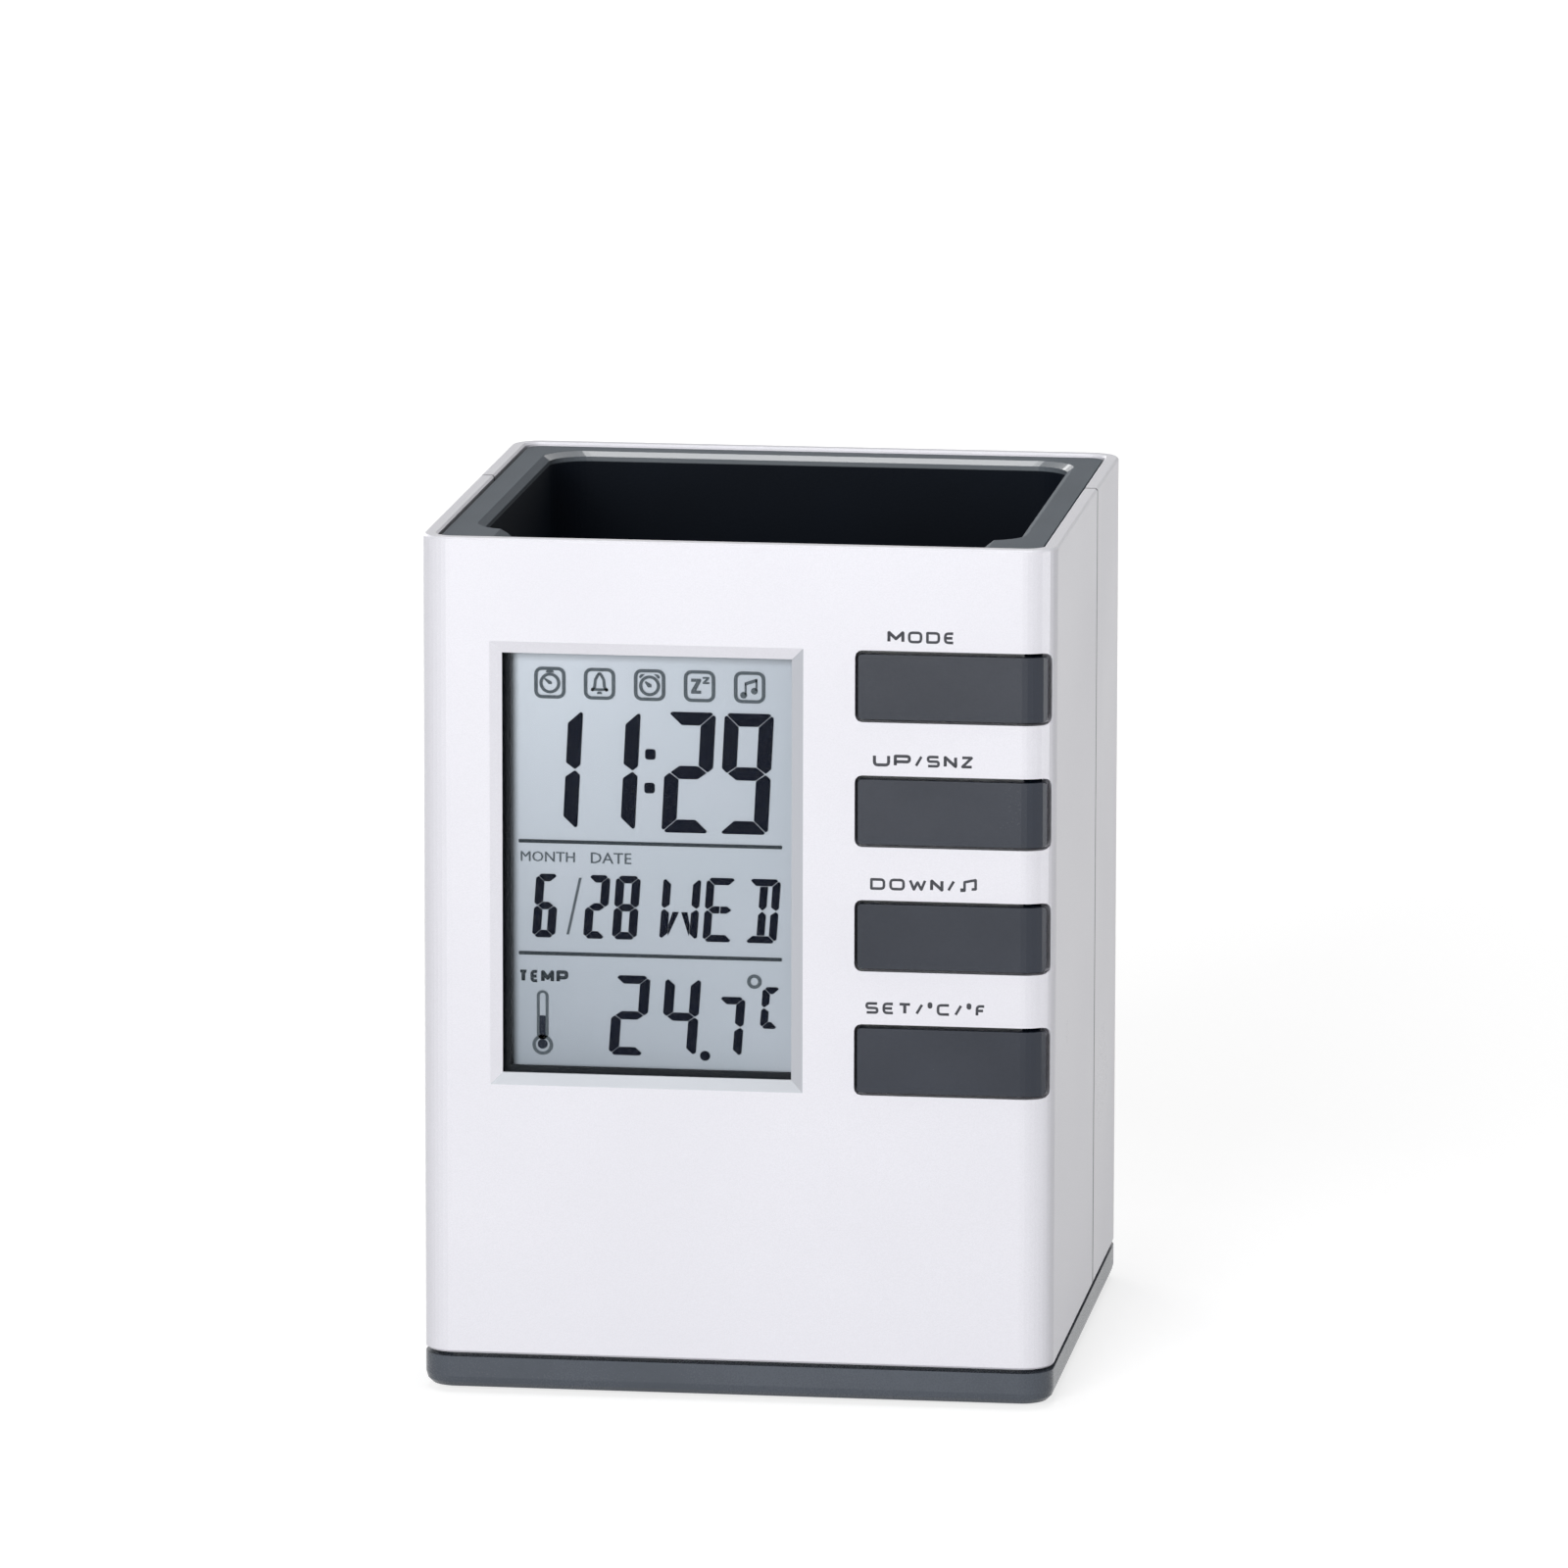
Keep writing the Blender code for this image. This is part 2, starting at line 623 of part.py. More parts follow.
def cup_form(name, grow, bottom, top, where):
    """A block of the pocket's outline, grown by a wall and drawn in towards the floor."""
    low = Vector((-POCKET_SIDE - grow, POCKET_FRONT - grow, bottom))
    high = Vector((POCKET_SIDE + grow, POCKET_BACK + grow, top))
    size = high - low
    bm = box_mesh(size)
    round_edges(bm, edges_along(bm, 2), CUP_CORNER + grow, CORNER_STEPS)
    draft = CUP_DRAFT * (top - bottom) / (RIM_TOP - CUP_FLOOR_BOTTOM)
    narrow = Vector((1 - draft * 2 / size.x, 1 - draft * 2 / size.y, 1))
    bmesh.ops.scale(bm, vec=narrow, verts=[v for v in bm.verts if v.co.z < 0])
    return place(name, as_mesh(name, bm), where, (low + high) / 2)


def cup_chamfer():
    """The sloping inner edge of the rim, as a cutter that widens upwards."""
    low = Vector((-POCKET_SIDE, POCKET_FRONT, RIM_TOP - CUP_CHAMFER))
    high = Vector((POCKET_SIDE, POCKET_BACK, RIM_TOP + CUP_CHAMFER))
    size = high - low
    bm = box_mesh(size)
    round_edges(bm, edges_along(bm, 2), CUP_CORNER, CORNER_STEPS)
    narrow = Vector((1 - CUP_DRAFT / size.x, 1 - CUP_DRAFT / size.y, 1))
    wide = Vector((1 + CUP_CHAMFER * 4 / size.x, 1 + CUP_CHAMFER * 4 / size.y, 1))
    bmesh.ops.scale(bm, vec=narrow, verts=[v for v in bm.verts if v.co.z < 0])
    bmesh.ops.scale(bm, vec=wide, verts=[v for v in bm.verts if v.co.z > 0])
    return place("rim_chamfer", as_mesh("rim_chamfer", bm), CUTTERS_NAME, (low + high) / 2)


def lip_slope():
    """The slope that falls from the front of the rim to the pocket, as a cutter."""
    low = Vector((CUP_CORNER - POCKET_SIDE, POCKET_FRONT, RIM_TOP - LIP_SLOPE_DEPTH))
    high = Vector((POCKET_SIDE - CUP_CORNER, POCKET_FRONT + CUP_CORNER, RIM_TOP + LIP_SLOPE_DEPTH))
    bm = box_mesh(high - low)
    for vert in bm.verts:
        if vert.co.z > 0:
            vert.co.x += math.copysign(LIP_SLOPE_END * 2, vert.co.x)
            if vert.co.y < 0:
                vert.co.y -= LIP_SLOPE_REACH * 2
    return place("lip_slope", as_mesh("lip_slope", bm), CUTTERS_NAME, (low + high) / 2)


def case_screw_spots():
    return [(x, y) for y in (BOSS_FRONT_Y, BOSS_BACK_Y) for x in (-BOSS_X, BOSS_X)]


def add_cup_supports(obj):
    """Screw bosses and small pads under the pocket's floor."""
    buried = CUP_FLOOR_BOTTOM + CUP_FLOOR / 2
    hole_radius = CASE_SCREW_RADIUS + CLEARANCE
    for i, (x, y) in enumerate(case_screw_spots()):
        low = (x, y, FLOOR_TOP + CLEARANCE)
        fuse(obj, cylinder(f"cup_boss_{i}", CUP_BOSS_RADIUS, low, (x, y, buried), CUTTERS_NAME))
        start = (x, y, FLOOR_TOP - OVERRUN)
        end = (x, y, CUP_FLOOR_BOTTOM - CUP_BOSS_ROOF)
        cut(obj, cylinder(f"cup_boss_hole_{i}", hole_radius, start, end, CUTTERS_NAME, SCREW_STEPS))
    across = BAY_HALF_LENGTH - PAD_SIZE
    along = BAY_HALF_WIDTH - PAD_SIZE
    for i, (x, y) in enumerate([(x, y) for y in (-along, along) for x in (-across, across)]):
        low = (x - PAD_SIZE / 2, BAY_Y + y - PAD_SIZE / 2, CUP_FLOOR_BOTTOM - PAD_HEIGHT)
        high = (x + PAD_SIZE / 2, BAY_Y + y + PAD_SIZE / 2, buried)
        fuse(obj, block(f"cup_pad_{i}", low, high, CUTTERS_NAME))


def make_pen_cup():
    obj = cup_form("pen_cup", CUP_WALL, CUP_FLOOR_BOTTOM, RIM_TOP - RIM_THICKNESS / 2, PARTS_NAME)
    fuse(obj, case_block("cup_rim", SHELL_WALL + RIM_GROOVE, RIM_BOTTOM, RIM_TOP))
    cut(obj, cup_form("pocket", 0, POCKET_FLOOR, RIM_TOP + OVERRUN, CUTTERS_NAME), cup_chamfer())
    cut(obj, lip_slope())
    add_cup_supports(obj)
    paint(obj, "cup_grey")


def base_plate():
    """The base's outer block, rounded along its lower edge."""
    bm = box_mesh((CASE_WIDTH, CASE_DEPTH, BASE_EDGE_HEIGHT))
    round_edges(bm, edges_along(bm, 2), CASE_CORNER, CORNER_STEPS)
    lower = [e for e in bm.edges if all(v.co.z < 0 for v in e.verts)]
    round_edges(bm, lower, BASE_EDGE_ROUND, EDGE_STEPS)
    centre = (0, 0, BASE_BOTTOM + BASE_EDGE_HEIGHT / 2)
    return place("base_tray", as_mesh("base_tray", bm), PARTS_NAME, centre)


def add_spigot(obj):
    """The wall that rises inside the shells and locates them."""
    outer = SHELL_WALL + CLEARANCE
    fuse(obj, case_block("spigot", outer, FLOOR_TOP - BASE_FLOOR / 2, SPIGOT_TOP))
    cut(obj, case_block("tray_hollow", outer + SPIGOT_WALL, FLOOR_TOP, SPIGOT_TOP + OVERRUN))


def bay_block(name, grow, bottom, top):
    low = (-BAY_HALF_LENGTH - grow, BAY_Y - BAY_HALF_WIDTH - grow, bottom)
    high = (BAY_HALF_LENGTH + grow, BAY_Y + BAY_HALF_WIDTH + grow, top)
    return block(name, low, high, CUTTERS_NAME)


def cover_limits():
    """Half length across, front end and back end of the battery cover."""
    return (
        BAY_HALF_LENGTH + COVER_OVERLAP,
        BAY_Y - BAY_HALF_WIDTH - COVER_OVERLAP,
        BAY_Y + BAY_HALF_WIDTH + COVER_OVERLAP,
    )


def tongue_tabs():
    """The (name, side, start) of each tab on the cover's sides."""
    _, front, back = cover_limits()
    middle, length = (front + back) / 2, back - front
    return [
        (f"{'left' if side < 0 else 'right'}_tab_{i}", side, middle + share * length)
        for side in (-1, 1)
        for i, share in enumerate(TONGUE_TAB_SHARES)
    ]


def add_battery_bay(obj):
    fuse(obj, bay_block("bay_walls", BAY_WALL, FLOOR_TOP - BASE_FLOOR / 4, BAY_TOP))
    cut(obj, bay_block("bay_hollow", 0, BASE_BOTTOM - OVERRUN, BAY_CEILING))


def cut_cover_seat(obj):
    """The recess of the cover, with the slots its tabs slide in and the gaps they drop out of."""
    half, front, back = cover_limits()
    low = (-half - CLEARANCE, front - CLEARANCE, BASE_BOTTOM - OVERRUN)
    high = (half + CLEARANCE, back + CLEARANCE + COVER_TRAVEL, RECESS_TOP)
    cut(obj, block("cover_recess", low, high, CUTTERS_NAME, COVER_CORNER))
    slot_bottom = COVER_TOP - TONGUE_TAB_THICKNESS - CLEARANCE
    slot_end = TONGUE_TAB_LENGTH + COVER_TRAVEL + CLEARANCE
    for name, side, start in tongue_tabs():
        xs = sorted((side * half, side * (half + TONGUE_TAB_REACH + CLEARANCE)))
        low, high = (xs[0], start - CLEARANCE, slot_bottom), (xs[1], start + slot_end, RECESS_TOP)
        cut(obj, block(f"{name}_slot", low, high, CUTTERS_NAME))
        low = (xs[0], start + COVER_TRAVEL - CLEARANCE, BASE_BOTTOM - OVERRUN)
        high = (xs[1], start + slot_end, slot_bottom + CLEARANCE)
        cut(obj, block(f"{name}_gap", low, high, CUTTERS_NAME))


def terminal_tabs():
    """The (name, y) of the solder tabs that pass through the bay's right end."""
    return (("positive", BAY_Y - CELL_OFFSET), ("negative", BAY_Y + CELL_OFFSET))


def tab_top():
    return CELL_CENTRE_Z + CONTACT_HEIGHT / 2


def cut_tab_slots(obj):
    for name, y in terminal_tabs():
        half = TAB_WIDTH / 2 + CLEARANCE
        low = (BAY_HALF_LENGTH - OVERRUN, y - half, tab_top() - CONTACT_THICKNESS - CLEARANCE)
        high = (BAY_HALF_LENGTH + BAY_WALL + OVERRUN, y + half, tab_top() + CLEARANCE)
        cut(obj, block(f"{name}_tab_slot", low, high, CUTTERS_NAME))


def foot_spots():
    x, y = SIDE - FOOT_INSET, BACK - FOOT_INSET
    return (
        ("foot_front_left", -x, -y),
        ("foot_front_right", x, -y),
        ("foot_rear_left", -x, y),
        ("foot_rear_right", x, y),
    )


def cut_screw_and_foot_seats(obj):
    seat = BASE_BOTTOM + CASE_SCREW_SEAT
    for i, (x, y) in enumerate(case_screw_spots()):
        start = (x, y, BASE_BOTTOM - OVERRUN)
        head = CASE_HEAD_RADIUS + CLEARANCE
        cut(obj, cylinder(f"screw_head_seat_{i}", head, start, (x, y, seat), CUTTERS_NAME))
        end = (x, y, FLOOR_TOP + OVERRUN)
        shank = CASE_SCREW_RADIUS + CLEARANCE
        cut(obj, cylinder(f"screw_way_{i}", shank, start, end, CUTTERS_NAME, SCREW_STEPS))
    for name, x, y in foot_spots():
        start = (x, y, BASE_BOTTOM - OVERRUN)
        end = (x, y, FOOT_THICKNESS + CLEARANCE)
        radius = FOOT_RADIUS + CLEARANCE
        cut(obj, cylinder(f"{name}_seat", radius, start, end, CUTTERS_NAME, TURN_STEPS))


def make_base_tray():
    obj = base_plate()
    add_spigot(obj)
    add_battery_bay(obj)
    cut_cover_seat(obj)
    cut_tab_slots(obj)
    cut_screw_and_foot_seats(obj)
    paint(obj, "dark_case")


def make_battery_cover():
    half, front, back = cover_limits()
    low, high = (-half, front, BASE_BOTTOM), (half, back, COVER_TOP)
    obj = block("battery_cover", low, high, PARTS_NAME, COVER_CORNER)
    for name, side, start in tongue_tabs():
        xs = sorted((side * (half - COVER_CORNER), side * (half + TONGUE_TAB_REACH)))
        low = (xs[0], start, COVER_TOP - TONGUE_TAB_THICKNESS)
        high = (xs[1], start + TONGUE_TAB_LENGTH, COVER_TOP)
        fuse(obj, block(name, low, high, CUTTERS_NAME))
    for i in range(GRIP_COUNT):
        y = back - GRIP_EDGE - GRIP_PITCH * i
        low = (-GRIP_LENGTH / 2, y - GRIP_WIDTH / 2, BASE_BOTTOM - OVERRUN)
        high = (GRIP_LENGTH / 2, y + GRIP_WIDTH / 2, BASE_BOTTOM + GRIP_DEPTH)
        cut(obj, block(f"grip_groove_{i}", low, high, CUTTERS_NAME))
    paint(obj, "dark_case")


def make_feet():
    profile = (
        (0, FOOT_THICKNESS),
        (FOOT_RADIUS, FOOT_THICKNESS),
        (FOOT_RADIUS, FOOT_CHAMFER),
        (FOOT_RADIUS - FOOT_CHAMFER, 0),
        (0, 0),
    )
    for name, x, y in foot_spots():
        paint(turned(name, profile, (x, y, 0), (0, 0, 1), PARTS_NAME), "rubber_black")


def make_screw(name, seat, towards, radius, length, head_radius, head_height):
    """A pan-head screw whose head sits on a point and faces along an axis."""
    crown_radius, crown_height = HEAD_CROWN_SHARES
    tip = length * TIP_SHARE
    profile = (
        (0, head_height),
        (head_radius * crown_radius, head_height),
        (head_radius, head_height * crown_height),
        (head_radius, 0),
        (radius, 0),
        (radius, tip - length),
        (0, -length),
    )
    obj = turned(name, profile, seat, towards, PARTS_NAME, SCREW_STEPS)
    reach_share, width_share, depth_share = RECESS_SHARES
    top = Vector(seat) + Vector(towards) * head_height
    depth = Vector(towards) * head_height * depth_share
    for i in range(2):
        spread = [abs(component) * OVERRUN for component in towards]
        across = [axis for axis in range(3) if not towards[axis]]
        spread[across[i]] = head_radius * reach_share
        spread[across[1 - i]] = head_radius * width_share
        middle = top - depth + Vector(towards) * OVERRUN
        low, high = middle - Vector(spread), middle + Vector(spread)
        cut(obj, block(f"{name}_recess_{i}", low, high, CUTTERS_NAME))
    paint(obj, "plated_steel")


def make_screws():
    for i, (x, y) in enumerate(case_screw_spots()):
        seat = (x, y, BASE_BOTTOM + CASE_SCREW_SEAT - CLEARANCE)
        sizes = (CASE_SCREW_RADIUS, CASE_SCREW_LENGTH, CASE_HEAD_RADIUS, CASE_HEAD_HEIGHT)
        make_screw(f"case_screw_{i + 1}", seat, (0, 0, -1), *sizes)
    for i, (x, z) in enumerate(board_screw_spots()):
        seat = (x, BOARD_BACK + CLEARANCE, z)
        sizes = (BOARD_SCREW_RADIUS, BOARD_SCREW_LENGTH, BOARD_HEAD_RADIUS, BOARD_HEAD_HEIGHT)
        make_screw(f"board_screw_{i + 1}", seat, (0, 1, 0), *sizes)


def make_cells():
    """Two cells side by side that point opposite ways, the front one with its nub to the right."""
    body = CELL_LENGTH - NUB_LENGTH
    profile = (
        (0, CELL_LENGTH),
        (NUB_RADIUS, CELL_LENGTH),
        (NUB_RADIUS, body),
        (CELL_RADIUS - CELL_EDGE, body),
        (CELL_RADIUS, body - CELL_EDGE),
        (CELL_RADIUS, CELL_EDGE),
        (CELL_RADIUS - CELL_EDGE, 0),
        (0, 0),
    )
    tip = BAY_HALF_LENGTH - CONTACT_THICKNESS - 2 * CLEARANCE
    for name, side in (("front_cell", 1), ("rear_cell", -1)):
        start = (side * (tip - CELL_LENGTH), BAY_Y - side * CELL_OFFSET, CELL_CENTRE_Z)
        paint(turned(name, profile, start, (side, 0, 0), PARTS_NAME), "cell_wrap")


def make_contacts():
    """The link plate at the left end, and the two terminal plates with tabs at the right end."""
    outer = BAY_HALF_LENGTH - CLEARANCE
    inner = outer - CONTACT_THICKNESS
    bottom, top = CELL_CENTRE_Z - CONTACT_HEIGHT / 2, tab_top()
    reach = CELL_OFFSET + CONTACT_WIDTH / 2
    low, high = (-outer, BAY_Y - reach, bottom), (-inner, BAY_Y + reach, top)
    paint(block("link_contact", low, high, PARTS_NAME), "plated_steel")
    for name, y in terminal_tabs():
        low, high = (inner, y - CONTACT_WIDTH / 2, bottom), (outer, y + CONTACT_WIDTH / 2, top)
        obj = block(f"{name}_contact", low, high, PARTS_NAME)
        low = (inner, y - TAB_WIDTH / 2, top - CONTACT_THICKNESS)
        high = (BAY_HALF_LENGTH + BAY_WALL + TAB_REACH, y + TAB_WIDTH / 2, top)
        fuse(obj, block(f"{name}_tab", low, high, CUTTERS_NAME))
        paint(obj, "plated_steel")


def spring_points(x, y, side):
    """A conical coil that narrows from its plate towards the cell, along +X or -X."""
    count = SPRING_TURNS * SPRING_TURN_STEPS
    length = SPRING_LENGTH - 2 * SPRING_WIRE_RADIUS
    points = []
    for i in range(count + 1):
        share = i / count
        angle = share * SPRING_TURNS * math.tau
        radius = SPRING_WIDE_RADIUS + (SPRING_NARROW_RADIUS - SPRING_WIDE_RADIUS) * share
        along = x + side * (SPRING_WIRE_RADIUS + length * share)
        across = y + radius * math.cos(angle)
        points.append(Vector((along, across, CELL_CENTRE_Z + radius * math.sin(angle))))
    return points


def least_gap(points):
    """The smallest gap between turns of a coil, from its points half a turn or more apart."""
    apart = SPRING_TURN_STEPS // 2
    pairs = [(p, q) for i, p in enumerate(points) for q in points[i + apart :]]
    return min((p - q).length for p, q in pairs) - 2 * SPRING_WIRE_RADIUS


def make_springs():
    start = BAY_HALF_LENGTH - CONTACT_THICKNESS - 2 * CLEARANCE
    for name, side in (("link_spring", 1), ("negative_spring", -1)):
        points = spring_points(-side * start, BAY_Y - side * CELL_OFFSET, side)
        print(name, "least gap between turns in mm", round(least_gap(points) * 1000, 2))
        paint(tube(name, points, SPRING_WIRE_RADIUS, SPRING_WIRE_STEPS), "plated_steel")


def make_display():
    """The lens, holder, glasses, reflector and the two conductive strips."""
    left, right = WINDOW_LEFT, WINDOW_RIGHT
    bottom, top = WINDOW_BOTTOM, WINDOW_TOP
    over = LENS_OVERLAP
    low, high = (left - over, LENS_FRONT, bottom - over), (right + over, LENS_BACK, top + over)
    paint(block("display_lens", low, high, PARTS_NAME), "clear_lens")
    make_holder()
    side, end = GLASS_SIDE_MARGIN, GLASS_END_MARGIN
    low = (left - side, GLASS_FRONT, bottom - end)
    high = (right + side, GLASS_FRONT + GLASS_THICKNESS, top + end)
    paint(block("display_front_glass", low, high, PARTS_NAME), "display_glass")
    end -= GLASS_LEDGE
    low = (left - side, REAR_GLASS_FRONT, bottom - end)
    high = (right + side, REAR_GLASS_FRONT + GLASS_THICKNESS, top + end)
    paint(block("display_rear_glass", low, high, PARTS_NAME), "display_glass")
    low, high = (low[0], FILM_FRONT, low[2]), (high[0], FILM_FRONT + FILM_THICKNESS, high[2])
    paint(block("reflector_film", low, high, PARTS_NAME), "reflector_film")
    make_strips(left - side + STRIP_SET_IN, right + side - STRIP_SET_IN)


def make_strips(left, right):
    """The conductive rubber strips that join the front glass to the board."""
    front = GLASS_FRONT + GLASS_THICKNESS + CLEARANCE
    far, near = GLASS_END_MARGIN, GLASS_END_MARGIN - GLASS_LEDGE + CLEARANCE
    for name, low_z, high_z in (
        ("upper_strip", WINDOW_TOP + near, WINDOW_TOP + far),
        ("lower_strip", WINDOW_BOTTOM - far, WINDOW_BOTTOM - near),
    ):
        low, high = (left, front, low_z), (right, HOLDER_BACK, high_z)
        paint(block(name, low, high, PARTS_NAME), "conductive_rubber")


def make_holder():
    """The dark holder that frames the display and keeps it against the board."""
    low = (WINDOW_LEFT - HOLDER_SIDE, HOLDER_FRONT, HOLDER_BOTTOM)
    high = (WINDOW_RIGHT + HOLDER_SIDE, HOLDER_BACK, HOLDER_TOP)
    obj = block("display_holder", low, high, PARTS_NAME)
    low = (WINDOW_LEFT + HOLDER_SHOWS_LEFT, HOLDER_FRONT - OVERRUN, WINDOW_BOTTOM + HOLDER_SHOWS_BELOW)
    high = (WINDOW_RIGHT + CLEARANCE, HOLDER_BACK + OVERRUN, WINDOW_TOP + CLEARANCE)
    view = block("holder_view", low, high, CUTTERS_NAME)
    side, end = GLASS_SIDE_MARGIN + CLEARANCE, GLASS_END_MARGIN + CLEARANCE
    low = (WINDOW_LEFT - side, HOLDER_FRONT + HOLDER_LIP, WINDOW_BOTTOM - end)
    high = (WINDOW_RIGHT + side, HOLDER_BACK + OVERRUN, WINDOW_TOP + end)
    paint(cut(obj, view, block("glass_seat", low, high, CUTTERS_NAME)), "holder_black")


def make_key(name, z):
    """A key that follows the case's corner, with the flange that keeps it in its slot."""
    half = SLOT_HEIGHT / 2 - KEY_GAP
    low = (SLOT_LEFT + KEY_GAP, FRONT - KEY_PROUD - OVERRUN, z - half)
    high = (SLOT_RIGHT - KEY_GAP, KEY_FLANGE_FRONT + KEY_FLANGE / 2, z + half)
    obj = block(f"{name}_button", low, high, PARTS_NAME, SLOT_CORNER / 2, along=1)
    skin = case_block(f"{name}_key_skin", -KEY_PROUD, z - SLOT_HEIGHT, z + SLOT_HEIGHT)
    combine(obj, skin, "INTERSECT")
    low = (SLOT_LEFT + KEY_GAP - KEY_FLANGE_OVERLAP, KEY_FLANGE_FRONT, z - FLANGE_HALF)
    high = (SIDE - CASE_CORNER, KEY_FLANGE_BACK, z + FLANGE_HALF)
    fuse(obj, block(f"{name}_key_flange", low, high, CUTTERS_NAME))
    paint(obj, "key_grey")


def make_switch(name, z):
    """A push switch under the middle of a key, with its plunger."""
    half = SWITCH_SIZE / 2
    low = (SLOT_MIDDLE - half, SWITCH_FRONT, z - half)
    high = (SLOT_MIDDLE + half, SWITCH_BACK, z + half)
    body = block(f"{name}_switch", low, high, PARTS_NAME)
    hole_end = (SLOT_MIDDLE, SWITCH_BACK - SWITCH_FLOOR, z)
    hole_start = (SLOT_MIDDLE, SWITCH_FRONT - OVERRUN, z)
    radius = PLUNGER_RADIUS + CLEARANCE
    cut(body, cylinder(f"{name}_switch_hole", radius, hole_start, hole_end, CUTTERS_NAME))
    paint(body, "switch_black")
    end = (SLOT_MIDDLE, SWITCH_BACK - SWITCH_FLOOR - CLEARANCE - KEY_TRAVEL, z)
    start = (SLOT_MIDDLE, PLUNGER_FRONT, z)
    plunger = cylinder(f"{name}_plunger", PLUNGER_RADIUS, start, end, PARTS_NAME)
    paint(plunger, "plunger_grey")


def make_keys():
    for name, z in key_centres():
        make_key(name, z)
        make_switch(name, z)


def make_board():
    low = (BOARD_LEFT, BOARD_FRONT, BOARD_BOTTOM)
    high = (BOARD_RIGHT, BOARD_BACK, BOARD_TOP)
    obj = block("circuit_board", low, high, PARTS_NAME)
    radius = BOARD_SCREW_RADIUS + CLEARANCE
    for i, (x, z) in enumerate(board_screw_spots()):
        start, end = (x, BOARD_FRONT - OVERRUN, z), (x, BOARD_BACK + OVERRUN, z)
        cut(obj, cylinder(f"board_hole_{i}", radius, start, end, CUTTERS_NAME, SCREW_STEPS))
    paint(obj, "board_green")


def board_spot(shares):
    """An (x, z) place on the board, from shares of its width and height."""
    width, height = BOARD_RIGHT - BOARD_LEFT, BOARD_TOP - BOARD_BOTTOM
    return BOARD_LEFT + width * shares[0], BOARD_BOTTOM + height * shares[1]


def dome(radius, height):
    """The profile of a low dome, from its top to the middle of its flat underside."""
    angles = [math.pi / 2 * i / DOME_STEPS for i in range(DOME_STEPS + 1)]
    return [(0, height), *((radius * math.sin(a), height * math.cos(a)) for a in angles[1:-1])] + [
        (radius, 0),
        (0, 0),
    ]


def make_chip_blob():
    x, z = board_spot(BLOB_SPOT_SHARES)
    start = (x, BOARD_BACK + CLEARANCE, z)
    obj = turned("chip_blob", dome(BLOB_RADIUS, BLOB_HEIGHT), start, (0, 1, 0), PARTS_NAME)
    paint(obj, "epoxy_black")


def make_sounder():
    """The brass plate of the sounder behind the board, and the ceramic disc on it."""
    x, z = board_spot(SOUNDER_SPOT_SHARES)
    front = BOARD_BACK + CLEARANCE
    back = front + SOUNDER_THICKNESS
    plate = cylinder(
        "sounder_plate", SOUNDER_RADIUS, (x, front, z), (x, back, z), PARTS_NAME, TURN_STEPS
    )
    paint(plate, "sounder_brass")
    front = back + CLEARANCE
    back = front + CERAMIC_THICKNESS
    disc = cylinder(
        "sounder_ceramic", CERAMIC_RADIUS, (x, front, z), (x, back, z), PARTS_NAME, TURN_STEPS
    )
    paint(disc, "sounder_ceramic")


def make_small_parts():
    """The crystal, the thermistor and the capacitor along the board's lower edge."""
    width, z = BOARD_RIGHT - BOARD_LEFT, BOARD_BOSS_BOTTOM
    x = BOARD_LEFT + width * CRYSTAL_SPOT_SHARE
    y = BOARD_FRONT - CLEARANCE - CRYSTAL_RADIUS
    ends = (x, y, z), (x + CRYSTAL_LENGTH, y, z)
    paint(cylinder("quartz_crystal", CRYSTAL_RADIUS, *ends, PARTS_NAME), "plated_steel")
    x = BOARD_LEFT + width * CAPACITOR_SPOT_SHARE
    y = BOARD_FRONT - CLEARANCE - CAPACITOR_RADIUS
    ends = (x, y, z), (x + CAPACITOR_LENGTH, y, z)
    paint(cylinder("capacitor", CAPACITOR_RADIUS, *ends, PARTS_NAME), "epoxy_black")
    make_thermistor(BOARD_LEFT + width * THERMISTOR_SPOT_SHARE, z)


def make_thermistor(x, z):
    """A resin bead on two legs that stand out of the board."""
    y = BOARD_FRONT - CLEARANCE - THERMISTOR_LEG_LENGTH
    round_top = dome(THERMISTOR_RADIUS, THERMISTOR_RADIUS)[:-1]
    profile = [*round_top, *((r, -h) for r, h in reversed(round_top[:-1]))]
    obj = turned("thermistor", profile, (x, y, z), (0, -1, 0), PARTS_NAME, SCREW_STEPS)
    for side in (-1, 1):
        at = x + side * THERMISTOR_LEG_SPREAD / 2
        ends = (at, y, z), (at, BOARD_FRONT - CLEARANCE, z)
        leg = cylinder(f"leg_{side}", THERMISTOR_LEG_RADIUS, *ends, CUTTERS_NAME, SCREW_STEPS)
        fuse(obj, leg)
    paint(obj, "thermistor_resin")


